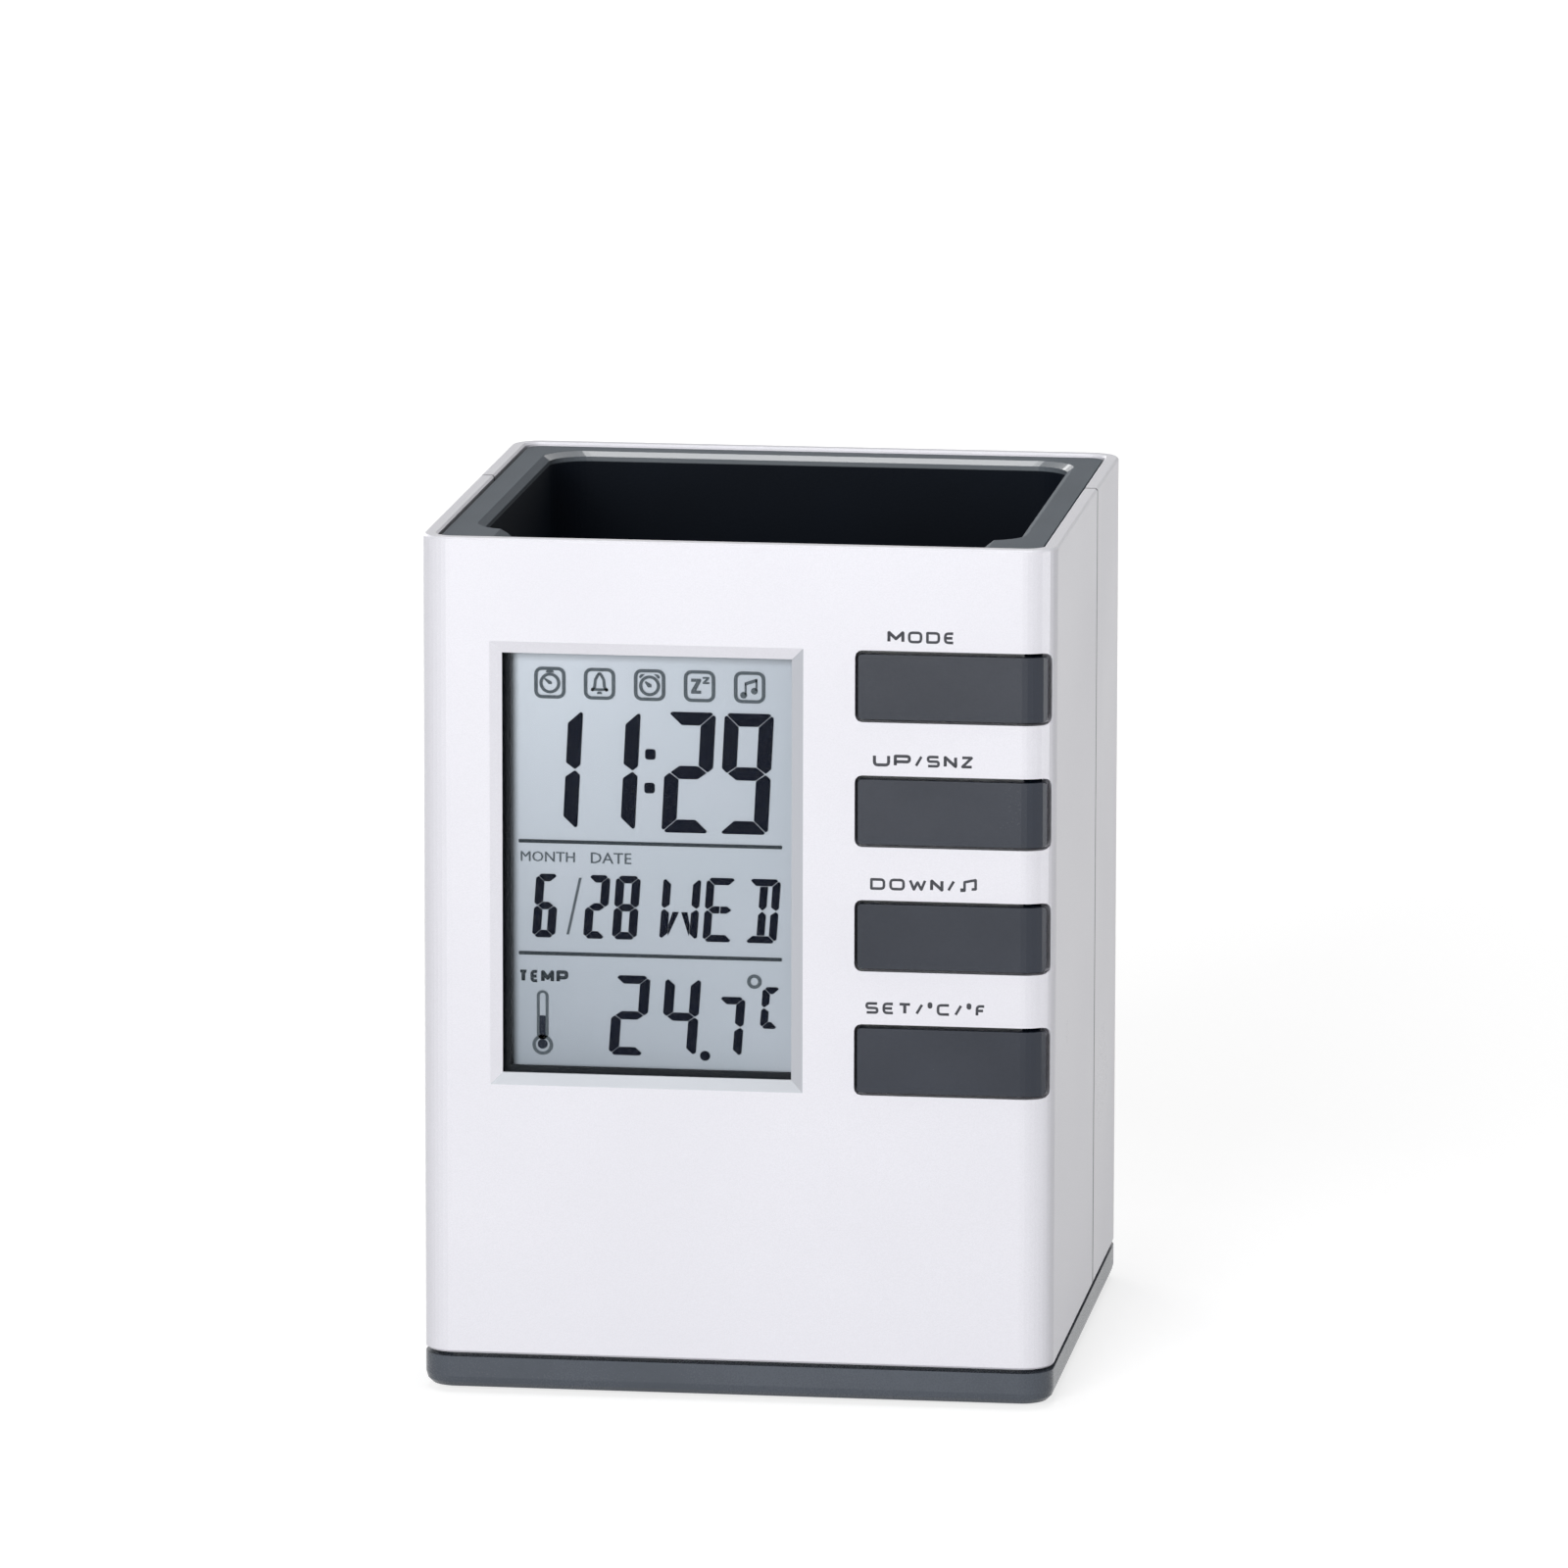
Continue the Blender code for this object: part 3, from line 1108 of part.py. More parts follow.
def power_route(tab_y, end_share, lane):
    """The way of a lead from its terminal, past the front right boss and up to the board.

    Lane -1 runs below and in front of lane 1.
    """
    tab_end = BAY_HALF_LENGTH + BAY_WALL + TAB_REACH + CLEARANCE + LEAD_RADIUS
    beside_bay = (BAY_HALF_LENGTH + BAY_WALL + SPIGOT_INSIDE) / 2
    beside_boss = (BOSS_X + CUP_BOSS_RADIUS + SPIGOT_INSIDE) / 2
    under_cup = (FLOOR_TOP + CUP_FLOOR_BOTTOM) / 2 + lane * LEAD_PITCH / 2
    y = BOARD_FRONT - CLEARANCE - LEAD_RADIUS
    end_x = board_spot((end_share, 0))[0]
    end = Vector((end_x, y, BOARD_BOTTOM + LEAD_PAD_HEIGHT))
    ahead = y - (1 - lane) * LEAD_PITCH / 2
    turn_y = CUP_OUTER_FRONT - (LEAD_BEND - lane * LEAD_PITCH) / 2
    turn_z = under_cup + (BOARD_BOTTOM - under_cup) * LEAD_TURN_SHARE
    turn = Vector((beside_boss, turn_y, turn_z))
    low, high = (turn.lerp(end, share) for share in LEAD_CLIMB_SHARES)
    return [
        (tab_end, tab_y, tab_top() - CONTACT_THICKNESS / 2),
        (beside_bay, tab_y - LEAD_BEND, under_cup + LEAD_RADIUS),
        (beside_bay, tab_y - LEAD_BEND * 2, under_cup),
        (beside_boss, BOSS_FRONT_Y, under_cup),
        turn,
        (low.x, ahead, low.z),
        (high.x, ahead, high.z),
        (end.x, ahead, end.z - LEAD_BEND),
        end,
    ]


def sounder_route(start, end):
    """The way of a thin lead from the sounder down to the lower edge of the board."""
    return [start, *(start.lerp(end, share) for share in SOUNDER_CLIMB_SHARES), end]


def sounder_routes():
    """The ways of the lead on the ceramic disc and of the one on the brass plate."""
    x, z = board_spot(SOUNDER_SPOT_SHARES)
    above = CLEARANCE + SOUNDER_LEAD_RADIUS
    plate_back = BOARD_BACK + CLEARANCE + SOUNDER_THICKNESS
    disc_back = plate_back + CLEARANCE + CERAMIC_THICKNESS
    routes = []
    places = zip((disc_back, plate_back), SOUNDER_START_SHARES, SOUNDER_END_SHARES)
    for back, (across, up), end_share in places:
        start_y = back + above + SOUNDER_LEAD_RADIUS / 2
        start = Vector((x + SOUNDER_RADIUS * across, start_y, z + SOUNDER_RADIUS * up))
        end_x = board_spot((end_share, 0))[0]
        end = Vector((end_x, BOARD_BACK + above, BOARD_BOTTOM + SOUNDER_PAD_HEIGHT))
        routes.append(sounder_route(start, end))
    return routes


def make_leads():
    positive_y, negative_y = (y for _, y in terminal_tabs())
    for colour, tab_y, end_share, lane in (
        ("red", positive_y, RED_END_SHARE, 1),
        ("black", negative_y, BLACK_END_SHARE, -1),
    ):
        points = smooth_route(power_route(tab_y, end_share, lane), LEAD_STEPS)
        lead = tube(f"{colour}_lead", points, LEAD_RADIUS, TUBE_STEPS)
        paint(lead, f"{colour}_insulation")
    for i, route in enumerate(sounder_routes()):
        points = smooth_route(route, LEAD_STEPS)
        lead = tube(f"sounder_lead_{i + 1}", points, SOUNDER_LEAD_RADIUS, TUBE_STEPS)
        paint(lead, "black_insulation")


def main():
    clear_scene()
    add_collection(PARTS_NAME)
    add_collection(CUTTERS_NAME)
    make_front_shell()
    make_rear_shell()
    make_pen_cup()
    make_base_tray()
    make_battery_cover()
    make_feet()
    make_screws()
    make_cells()
    make_contacts()
    make_springs()
    make_display()
    make_keys()
    make_board()
    make_chip_blob()
    make_sounder()
    make_small_parts()
    make_leads()


main()
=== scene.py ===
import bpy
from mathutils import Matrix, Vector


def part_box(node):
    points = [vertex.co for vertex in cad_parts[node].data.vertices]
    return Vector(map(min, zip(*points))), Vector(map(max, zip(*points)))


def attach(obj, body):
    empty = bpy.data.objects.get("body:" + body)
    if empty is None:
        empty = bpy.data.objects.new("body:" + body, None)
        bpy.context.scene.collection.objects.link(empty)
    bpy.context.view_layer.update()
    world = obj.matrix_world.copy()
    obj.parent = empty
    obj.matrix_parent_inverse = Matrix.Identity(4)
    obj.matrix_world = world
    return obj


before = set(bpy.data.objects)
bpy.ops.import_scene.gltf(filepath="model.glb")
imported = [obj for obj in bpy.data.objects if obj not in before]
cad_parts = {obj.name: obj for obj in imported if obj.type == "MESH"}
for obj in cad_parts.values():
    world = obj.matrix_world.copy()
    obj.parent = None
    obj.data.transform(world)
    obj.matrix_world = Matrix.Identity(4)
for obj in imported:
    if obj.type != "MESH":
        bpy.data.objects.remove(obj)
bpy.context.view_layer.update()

import math

import bmesh
import bpy
from mathutils import Matrix, Vector

bl_info = {
    "name": "Pen holder clock",
    "version": (1, 0, 0),
    "blender": (4, 5, 0),
    "location": "View3D > Sidebar > Pen Clock",
    "description": "Finishes, display marks, printed labels and studio of a pen holder clock",
    "category": "Object",
}

# Segments that each figure or letter of the display lights
LIT_SEGMENTS = {
    "1": "bc", "2": "abged", "4": "fgbc", "6": "afedcg", "7": "abc", "8": "abcdefg", "9": "abcdfg",
    "C": "afed", "D": "abcdjk", "E": "afedhi", "W": "febclm",
}

# Rows of figures: each character's left edge and width, the row's bottom and top, shares of the stroke
# that upright and level segments and cut corners take, and the joint; lengths in millimetres
ROWS = {
    "time": (
        (("1", -26.10, 5.80), ("1", -18.90, 5.90), ("2", -9.60, 6.10), ("9", -2.35, 6.20)),
        72.0, 87.4, 1, 0.92, 0.15, 0.13,
    ),
    "date": (
        (("6", -26.15, 2.90), ("2", -19.65, 2.90), ("8", -16.00, 3.10)),
        58.15, 66.3, 1, 0.9, 0.28, 0.09,
    ),
    "weekday": (
        (("W", -9.98, 4.75), ("E", -4.50, 3.85), ("D", 0.75, 4.10)),
        58.15, 66.35, 0.92, 0.85, 0.28, 0.13,
    ),
    "temperature": ((("2", -16.35, 4.60), ("4", -9.80, 4.50)), 43.3, 53.55, 1, 0.85, 0.28, 0.1),
    "tenths": ((("7", -3.05, 3.45),), 43.4, 51.15, 0.88, 0.76, 0.28, 0.1),
    "unit": ((("C", 2.70, 2.35),), 47.2, 52.55, 0.76, 0.7, 0.28, 0.1),
}

# Strokes of the printed letters in a cell of width and height 1; a third value rounds that corner
LETTER_STROKES = {
    "M": [((0, 0), (0, 1), (0.5, 0.3), (1, 1), (1, 0))],
    "O": [((0, 0, 1), (0, 1, 1), (1, 1, 1), (1, 0, 1))],
    "D": [((0, 0), (0, 1), (1, 1, 1), (1, 0, 1))],
    "E": [((1, 1), (0, 1, 1), (0, 0, 1), (1, 0)), ((0, 0.5), (0.9, 0.5))],
    "U": [((0, 1), (0, 0, 1), (1, 0, 1), (1, 1))],
    "P": [((0, 0), (0, 1), (1, 1, 1), (1, 0.4, 1), (0, 0.4))],
    "/": [((0, 0), (1, 1))],
    "S": [((1, 1), (0, 1, 1), (0, 0.5, 1), (1, 0.5, 1), (1, 0, 1), (0, 0))],
    "N": [((0, 0), (0, 1), (1, 0), (1, 1))],
    "Z": [((0, 1), (1, 1), (0, 0), (1, 0))],
    "W": [((0, 1), (0.25, 0), (0.5, 0.8), (0.75, 0), (1, 1))],
    "T": [((0, 1), (1, 1)), ((0.5, 1), (0.5, 0))],
    "C": [((1, 1), (0, 1, 1), (0, 0, 1), (1, 0))],
    "F": [((1, 1), (0, 1, 1), (0, 0)), ((0, 0.5), (0.85, 0.5))],
    "°": [((0.1, 0.75, 1), (0.1, 1.15, 1), (0.9, 1.15, 1), (0.9, 0.75, 1))],
    "♫": [
        ((0, 0), (0.28, 0.02), (0.28, 0.95), (1, 1.2), (1, 0.2), (0.74, 0.18)), ((0, 0.12), (0.2, 0.12))
    ],
}
CLOSED_LETTERS = "OD°"
LETTER_SPACE = 0.38
LETTER_WIDTHS = {
    "M": 2.00, "O": 1.75, "D": 1.70, "E": 1.30, "U": 1.85, "P": 1.85, "/": 0.90, "S": 1.45, "N": 1.45,
    "Z": 1.35, "W": 1.95, "T": 1.45, "C": 1.50, "F": 1.10, "°": 0.62, "♫": 2.00,
}

# Labels above the keys, in millimetres: key, words, left and right end, and height above its middle
KEY_LABELS = (
    ("mode", "MODE", 19.05, 27.50, 6.33),
    ("up", "UP/SNZ", 17.28, 29.90, 6.52),
    ("down", "DOWN/♫", 16.95, 30.45, 6.64),
    ("set", "SET/°C/°F", 16.40, 31.60, 6.66),
)

MM = 0.001

# Icons of the display, in millimetres: place of the frame, and shapes in it from its middle
ICON_HEIGHT = 90.72
ICONS = {
    "timer": (-24.12, (
        ((-0.12, -0.2), (0.25, -0.2), (0.25, 0.12), (-0.65, 0.62), (-0.75, 0.45)),
        ((-0.55, 1.28), (0.55, 1.28), (0.35, 1.62), (-0.35, 1.62)),
    )),
    "bell": (-17.83, (
        ((-0.35, -1.3), (0.35, -1.3), (0.22, -0.98), (-0.22, -0.98)),
    )),
    "alarm": (-11.49, (
        ((-0.2, -0.3), (0.22, -0.3), (0.22, 0.1), (-0.5, 0.5), (-0.6, 0.32)),
        ((-1.35, 1.0), (-1.1, 1.35), (-0.55, 1.4), (-1.15, 0.8)),
        ((1.35, 1.0), (1.1, 1.35), (0.55, 1.4), (1.15, 0.8)),
    )),
    "snooze": (-5.18, (
        ((-1.05, 0.95), (0.2, 0.95), (0.2, 0.65), (-0.45, -0.55), (0.2, -0.55), (0.2, -0.95),
         (-1.05, -0.95), (-1.05, -0.6), (-0.4, 0.55), (-1.05, 0.55)),
        ((0.42, 1.2), (1.25, 1.2), (1.25, 1.0), (0.8, 0.55), (1.25, 0.55), (1.25, 0.3),
         (0.42, 0.3), (0.42, 0.5), (0.85, 0.95), (0.42, 0.95)),
    )),
    "tune": (1.15, (
        ((-0.62, 0.62), (0.95, 1.15), (0.95, 0.72), (-0.62, 0.2)),
        ((-0.62, 0.5), (-0.4, 0.5), (-0.4, -0.95), (-0.62, -0.95)),
        ((0.75, 1.0), (0.97, 1.0), (0.97, -0.4), (0.75, -0.4)),
    )),
}
BELL_DOME = (
    (-1.15, -0.9), (1.15, -0.9), (0.78, -0.35), (0.7, 0.55), (0.42, 1.1), (0.16, 1.45), (-0.16, 1.45),
    (-0.42, 1.1), (-0.7, 0.55), (-0.78, -0.35),
)

# Other marks of the display, in millimetres
COLON_DOTS = ((-11.4, 81.9), (-11.5, 77.6))
DATE_SLASH = ((-22.05, 58.6), (-21.75, 58.6), (-20.15, 65.9), (-20.45, 65.9))
RULE_MIDDLE, RULE_LENGTH, RULE_HEIGHTS = -11.42, 33.4, (70.45, 56.1)
DISPLAY_WORDS = (("MONTH", -27.85, -21.0, 68.5, 1.30), ("DATE", -18.95, -13.8, 68.5, 1.38))
THERMOMETER = -25.12

# Where painted shade falls on the front's window bevel faces, how much of it the left-facing ones get,
# and its tone
BEVEL_BACK, BEVEL_FROM_SIDE, BEVEL_FROM_TOP = 0.7 * MM, 5.5 * MM, 3.0 * MM
SIDE_BEVEL_SHADE_SHARE = 0.75
BEVEL_SHADE_TONE = (0.385, 0.405, 0.440)

# The band of painted shade on the rear half behind the seam, how softly it ends, and its tone
SEAM_SHADE_BAND, SEAM_BLEND = 0.65 * MM, 0.01 * MM
SEAM_SHADE_TONE = (0.28, 0.28, 0.30)

# The cup's chamfer below its rim, polished except along the back
CHAMFER_TOP, CHAMFER_FOOT, POLISH_FROM_BACK = 0.08 * MM, 1.30 * MM, 8.5 * MM

# A cell's nub, the wrap's light band and stripe, how far the wrap stops short, and its edges' blend
CELL_NUB, CELL_BAND, CELL_STRIPE = 0.9 * MM, 12.5 * MM, 1.0 * MM
CELL_EDGE, CELL_BLEND = 0.3 * MM, 0.1 * MM

# Lamps: name, place, and width and height in metres
LAMPS = (
    ("front", (-0.32, -1.5, 0.40), (0.6, 0.6)),
    ("side", (0.34, -0.055, 0.07), (0.14, 0.14)),
    ("top", (0.0, -0.05, 1.45), (0.7, 0.7)),
    ("rear", (-0.90, 1.10, 0.45), (0.8, 0.8)),
)
LAMP_AIM = (0.0, 0.0, 0.055)
FLOOR_HALF = 6.0
FLOOR_NEAR, FLOOR_FAR = 0.15, 0.9
SENSOR_WIDTH = 36.0


def mm(*values):
    """Millimetres as metres."""
    return tuple(value * MM for value in values)


def number(name, default, description, **limits):
    """A number for the sidebar."""
    return bpy.props.FloatProperty(name=name, default=default, description=description, **limits)


def length(name, default, description):
    """A size in metres for the sidebar."""
    return number(name, default, description, min=0.0, precision=5, unit="LENGTH")


def colour(name, default, description):
    """A colour for the sidebar."""
    return bpy.props.FloatVectorProperty(
        name=name, default=default, description=description, size=3, min=0.0, max=1.0, subtype="COLOR"
    )


def share(name, default, description):
    """A value from 0 to 1 for the sidebar."""
    return number(name, default, description, min=0.0, max=1.0, subtype="FACTOR")


def angle(name, default, description):
    """An angle for the sidebar, given in degrees."""
    return number(name, math.radians(default), description, unit="ROTATION")


def power(name, default, description):
    """The power of a lamp for the sidebar."""
    return number(name, default, description, min=0.0, unit="POWER")


class ClockColours(bpy.types.PropertyGroup):
    """Colours of the clock's finishes."""

    silver: colour("Silver paint", (0.80, 0.795, 0.850), "Pearl paint of both housing halves")
    base: colour("Base plastic", (0.078, 0.090, 0.110), "Plastic of the foot and the battery cover")
    cup: colour("Cup plastic", (0.122, 0.140, 0.160), "Moulded plastic of the pen cup's rim")
    # Painted shade: the pen pocket's walls are coloured far darker than the cup's rim
    pocket: colour("Pocket", (0.003, 0.005, 0.009), "Darker texture on the walls of the pen pocket")
    key: colour("Key plastic", (0.009, 0.014, 0.027), "Moulded plastic of the four keys")
    film: colour("Reflector", (0.730, 0.775, 0.860), "Foil behind the liquid crystal at its brightest")
    # Painted shade: the reflector's colour where its painted gradient is darkest
    film_shade: colour("Reflector, lower left", (0.365, 0.405, 0.465), "The same foil at its darkest")
    segment: colour("Segments", (0.002, 0.004, 0.012), "Dark liquid crystal of the figures")
    small_mark: colour("Small marks", (0.105, 0.125, 0.145), "Lighter small words and icons")
    label: colour("Label ink", (0.085, 0.088, 0.100), "Ink of the words above the keys")


class DisplaySizes(bpy.types.PropertyGroup):
    """Sizes of the marks on the display."""

    figure_front: length("Front of the segments", 35.66 * MM, "How far before the middle they start")
    figure_depth: length("Segment thickness", 0.02 * MM, "Thickness of the liquid crystal's dark parts")
    time_stroke: length("Time stroke", 1.82 * MM, "Width of the segments of the time")
    date_stroke: length("Date stroke", 1.06 * MM, "Width of the segments of the date")
    temperature_stroke: length("Temperature stroke", 1.24 * MM, "Width of the temperature's segments")
    rule_thickness: length("Rule thickness", 0.46 * MM, "Height of the two lines between the rows")
    icon_size: length("Icon size", 3.95 * MM, "Width and height of the icons' frames")
    icon_line: length("Icon line", 0.42 * MM, "Line width of the icons")
    time_slant: angle("Time slant", 2.9, "Lean of the time figures to the right")
    date_slant: angle("Date slant", 4.2, "Lean of the date, weekday and temperature figures")


class LabelSizes(bpy.types.PropertyGroup):
    """Sizes of the words above the keys."""

    height: length("Letter height", 1.55 * MM, "Height of the capital letters")
    line: length("Line width", 0.39 * MM, "Width of a printed line")
    rounding: length("Corner rounding", 0.42 * MM, "Radius of the letters' round corners")
    thickness: length("Ink thickness", 0.03 * MM, "Thickness of the ink, half of it above the surface")


class StageSettings(bpy.types.PropertyGroup):
    """Camera, lamps and floor."""

    camera_place: bpy.props.FloatVectorProperty(
        name="Camera place", default=(0.2012, -1.5259, 0.3555), description="Where the camera stands",
        size=3, subtype="TRANSLATION", unit="LENGTH",
    )
    camera_turn: angle("Camera turn", 7.48, "Turn of the camera to the left")
    camera_dip: angle("Camera dip", 10.44, "Tilt of the camera below the horizon")
    camera_roll: angle("Camera roll", 0.1, "Turn of the camera about its own line of sight")
    camera_lens: number("Lens", 280.1, "Focal length in millimetres", min=1.0)
    front_power: power("Front lamp", 19.4, "Power of the large lamp at the front left")
    side_power: power("Side lamp", 0.225, "Power of the lamp at the right, which the corner mirrors")
    top_power: power("Top lamp", 5.5, "Power of the lamp overhead")
    rear_power: power("Rear lamp", 6.0, "Power of the lamp behind, which lights the back")
    surroundings: share("Surroundings", 0.08, "Brightness of the plain surroundings as a light")
    floor: colour("Floor", (0.48, 0.48, 0.48), "Colour of the plain floor")
    floor_lift: share("Floor lift", 0.74, "Added brightness of the floor where it is seen")
    floor_lift_far: share("Far floor lift", 1.0, "The same far off, where the lamps reach less")


def settings(context):
    """The four groups of settings."""
    scene = context.scene
    return scene.clock_colours, scene.clock_display, scene.clock_labels, scene.clock_stage


class Nodes:
    """A node tree while it is put together, with short ways to add and join nodes."""

    def __init__(self, tree):
        self.tree = tree

    def add(self, kind, inputs=None, **values):
        """A node of a kind, its own values set and its inputs joined or filled."""
        node = self.tree.nodes.new(kind)
        for name, value in values.items():
            setattr(node, name, value)
        for name, value in (inputs or {}).items():
            socket = node.inputs[name]
            if isinstance(value, bpy.types.NodeSocket):
                self.tree.links.new(value, socket)
            else:
                socket.default_value = value
        return node

    def ranged(self, value, low, high, start=0.3, end=0.7):
        """A value between start and end, spread out between low and high."""
        inputs = {"Value": value, "From Min": start, "From Max": end, "To Min": low, "To Max": high}
        return self.add("ShaderNodeMapRange", inputs).outputs["Result"]

    def sums(self, operation, first, second=0.0, third=0.0):
        """A sum of one to three values."""
        values = {0: first, 1: second, 2: third}
        return self.add("ShaderNodeMath", values, operation=operation).outputs[0]

    def times(self, first, second):
        """The product of two values."""
        return self.sums("MULTIPLY", first, second)

    def seen(self):
        """1 for a ray from the camera, or one that a gloss or a clear pane sends on."""
        path = self.add("ShaderNodeLightPath").outputs
        seen = self.sums("MAXIMUM", path["Is Camera Ray"], path["Is Glossy Ray"])
        return self.sums("MAXIMUM", seen, path["Is Transmission Ray"])


class Finish(Nodes):
    """A material while it is put together."""

    def __init__(self, name):
        self.material = bpy.data.materials.new(name)
        self.material.use_nodes = True
        super().__init__(self.material.node_tree)
        self.tree.nodes.clear()
        self.output = self.add("ShaderNodeOutputMaterial")
        self.place = self.add("ShaderNodeTexCoord").outputs["Object"]

    def stretch(self, scale, turn=(0, 0, 0)):
        """The surface's own coordinates, scaled and turned."""
        inputs = {"Vector": self.place, "Scale": scale, "Rotation": turn}
        return self.add("ShaderNodeMapping", inputs).outputs[0]

    def noise(self, size, detail=2.0, place=None, roughness=0.5):
        """Soft noise whose spots are about size metres across."""
        inputs = {
            "Vector": place or self.place, "Scale": 1 / size, "Detail": detail, "Roughness": roughness,
        }
        return self.add("ShaderNodeTexNoise", inputs).outputs["Fac"]

    def cells(self, size):
        """A random value in each small cell."""
        inputs = {"Vector": self.place, "Scale": 1 / size}
        node = self.add("ShaderNodeTexVoronoi", inputs)
        return self.add("ShaderNodeSeparateColor", {"Color": node.outputs["Color"]}).outputs["Red"]

    def varied(self, pattern, tone, low, high):
        """A colour that a pattern makes darker and lighter."""
        return self.mixed(self.ranged(pattern, 0, 1), tinted(tone, low), tinted(tone, high))

    def mixed(self, amount, first, second):
        """Two colours mixed by an amount."""
        node = self.add("ShaderNodeMix", data_type="RGBA")
        for index, value in ((0, amount), (6, first), (7, second)):
            socket = node.inputs[index]
            if isinstance(value, bpy.types.NodeSocket):
                self.tree.links.new(value, socket)
            else:
                socket.default_value = value if index == 0 else (*value, 1.0)
        return node.outputs[2]

    def along(self, axis):
        """One of the surface's own coordinates, in metres."""
        return self.add("ShaderNodeSeparateXYZ", {"Vector": self.place}).outputs[axis]

    def bump(self, height, distance):
        """Small relief of a height pattern, in metres."""
        return self.add("ShaderNodeBump", {"Height": height, "Distance": distance}).outputs["Normal"]

    def step(self, value, edge, blend):
        """0 below an edge and 1 above it, or the other way round for a negative blend."""
        low, high = (0, 1) if blend > 0 else (1, 0)
        return self.ranged(value, low, high, edge, edge + abs(blend))

    def surface(self, tone, gloss, relief, specular=0.5, **inputs):
        """The material with the main shader."""
        inputs = {name.replace("_", " "): value for name, value in inputs.items()}
        inputs |= {"Base Color": tone, "Roughness": gloss, "Normal": relief}
        inputs["Specular IOR Level"] = specular
        return self.shown(self.add("ShaderNodeBsdfPrincipled", inputs))

    def shown(self, shader):
        """The material with a shader joined to its output."""
        self.tree.links.new(shader.outputs[0], self.output.inputs["Surface"])
        return self.material


def tinted(tone, factor):
    """A colour made lighter or darker by a factor."""
    return tuple(min(1.0, part * factor) for part in tone)


def moulded(name, tone, roughness, grain, depth, spread=0.07, gloss_level=0.3):
    """Moulded plastic: fine grain from its tool, and slow changes of tone and gloss."""
    f = Finish(name)
    slow = f.noise(0.018, 3)
    fine = f.noise(grain, 2, roughness=0.6)
    specks = f.cells(grain * 1.6)
    shade = f.varied(slow, tone, 1 - spread, 1 + spread)
    shade = f.mixed(f.ranged(specks, 0, 0.12, 0, 1), shade, tinted(tone, 0.6))
    gloss = f.sums("ADD", f.ranged(fine, -0.03, 0.03), roughness)
    gloss = f.sums("ADD", gloss, f.ranged(slow, -0.03, 0.03))
    return f.surface(shade, gloss, f.bump(fine, depth), gloss_level)


def bevel_shade_mask(f):
    """1 on up-facing faces near the front, such as the window's lower bevel, and less on left-facing
    ones such as its right bevel: where painted shade darkens the paint.
    """
    low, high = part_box("front_shell")
    facing = f.add("ShaderNodeTexCoord").outputs["Normal"]
    facing = f.add("ShaderNodeSeparateXYZ", {"Vector": facing}).outputs
    upward = f.step(facing["Z"], 0.2, 0.1)
    leftward = f.ranged(facing["X"], 0, SIDE_BEVEL_SHADE_SHARE, -0.2, -0.3)
    outer = f.step(f.along("Y"), low.y + BEVEL_BACK, -0.1 * MM)
    inward = f.step(f.along("X"), low.x + BEVEL_FROM_SIDE, 0.5 * MM)
    under = f.step(f.along("Z"), high.z - BEVEL_FROM_TOP, -0.5 * MM)
    mask = f.times(f.times(outer, inward), under)
    return f.times(mask, f.sums("MAXIMUM", upward, leftward))


def silver_paint(name, tone, seam=None, bevel_shade=False):
    """Satin pearl silver paint with tiny flakes and a faint orange peel, with painted shade in front of
    a seam and, if asked, on bevel faces.
    """
    f = Finish(name)
    cloud = f.noise(0.035, 2)
    flakes = f.cells(0.00009)
    shade = f.varied(cloud, tone, 0.985, 1.015)
    shade = f.mixed(f.ranged(flakes, 0, 1, 0, 1), shade, tinted(tone, 0.94))
    if seam is not None:
        # Painted shade: the rear half's edge at the seam is darkened as if lying in the seam's shadow
        seam_shade = f.step(f.along("Y"), seam - SEAM_BLEND, -SEAM_BLEND)
        shade = f.mixed(seam_shade, shade, SEAM_SHADE_TONE)
    if bevel_shade:
        # Painted shade on the up- and left-facing bevel faces near the front
        shade = f.mixed(bevel_shade_mask(f), shade, BEVEL_SHADE_TONE)
    peel = f.noise(0.0011, 2)
    gloss = f.sums("ADD", f.ranged(flakes, -0.03, 0.03, 0, 1), f.ranged(cloud, 0.30, 0.36))
    return f.surface(shade, gloss, f.bump(peel, 0.000004), 0.35, Metallic=0.05)


def cup_plastic(rim_tone, pocket_shade_tone):
    """The cup's grey plastic: matt rim, polished chamfer, and a rougher pocket whose walls carry
    painted shade, far darker than the rim.
    """
    f = Finish("cup_plastic")
    slow = f.noise(0.018, 3)
    fine = f.noise(0.00022, 2, roughness=0.6)
    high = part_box("pen_cup")[1]
    inside = f.step(f.along("Z"), high.z - CHAMFER_FOOT, -0.12 * MM)
    below = f.step(f.along("Z"), high.z - CHAMFER_TOP, -0.05 * MM)
    behind = f.step(f.along("Y"), high.y - POLISH_FROM_BACK, 0.8 * MM)
    polished = f.times(f.sums("SUBTRACT", below, inside), behind)
    rim = f.varied(slow, rim_tone, 0.94, 1.06)
    # Painted shade: the pocket's walls are far darker than the rim
    walls = f.varied(slow, pocket_shade_tone, 0.85, 1.15)
    gloss = f.sums("ADD", f.ranged(fine, -0.03, 0.03), f.ranged(inside, 0.62, 0.70, 0, 1))
    return f.surface(
        f.mixed(inside, rim, walls), gloss, f.bump(fine, 0.00002), 0.08,
        Coat_Weight=polished, Coat_Roughness=0.16, Coat_IOR=1.9,
    )


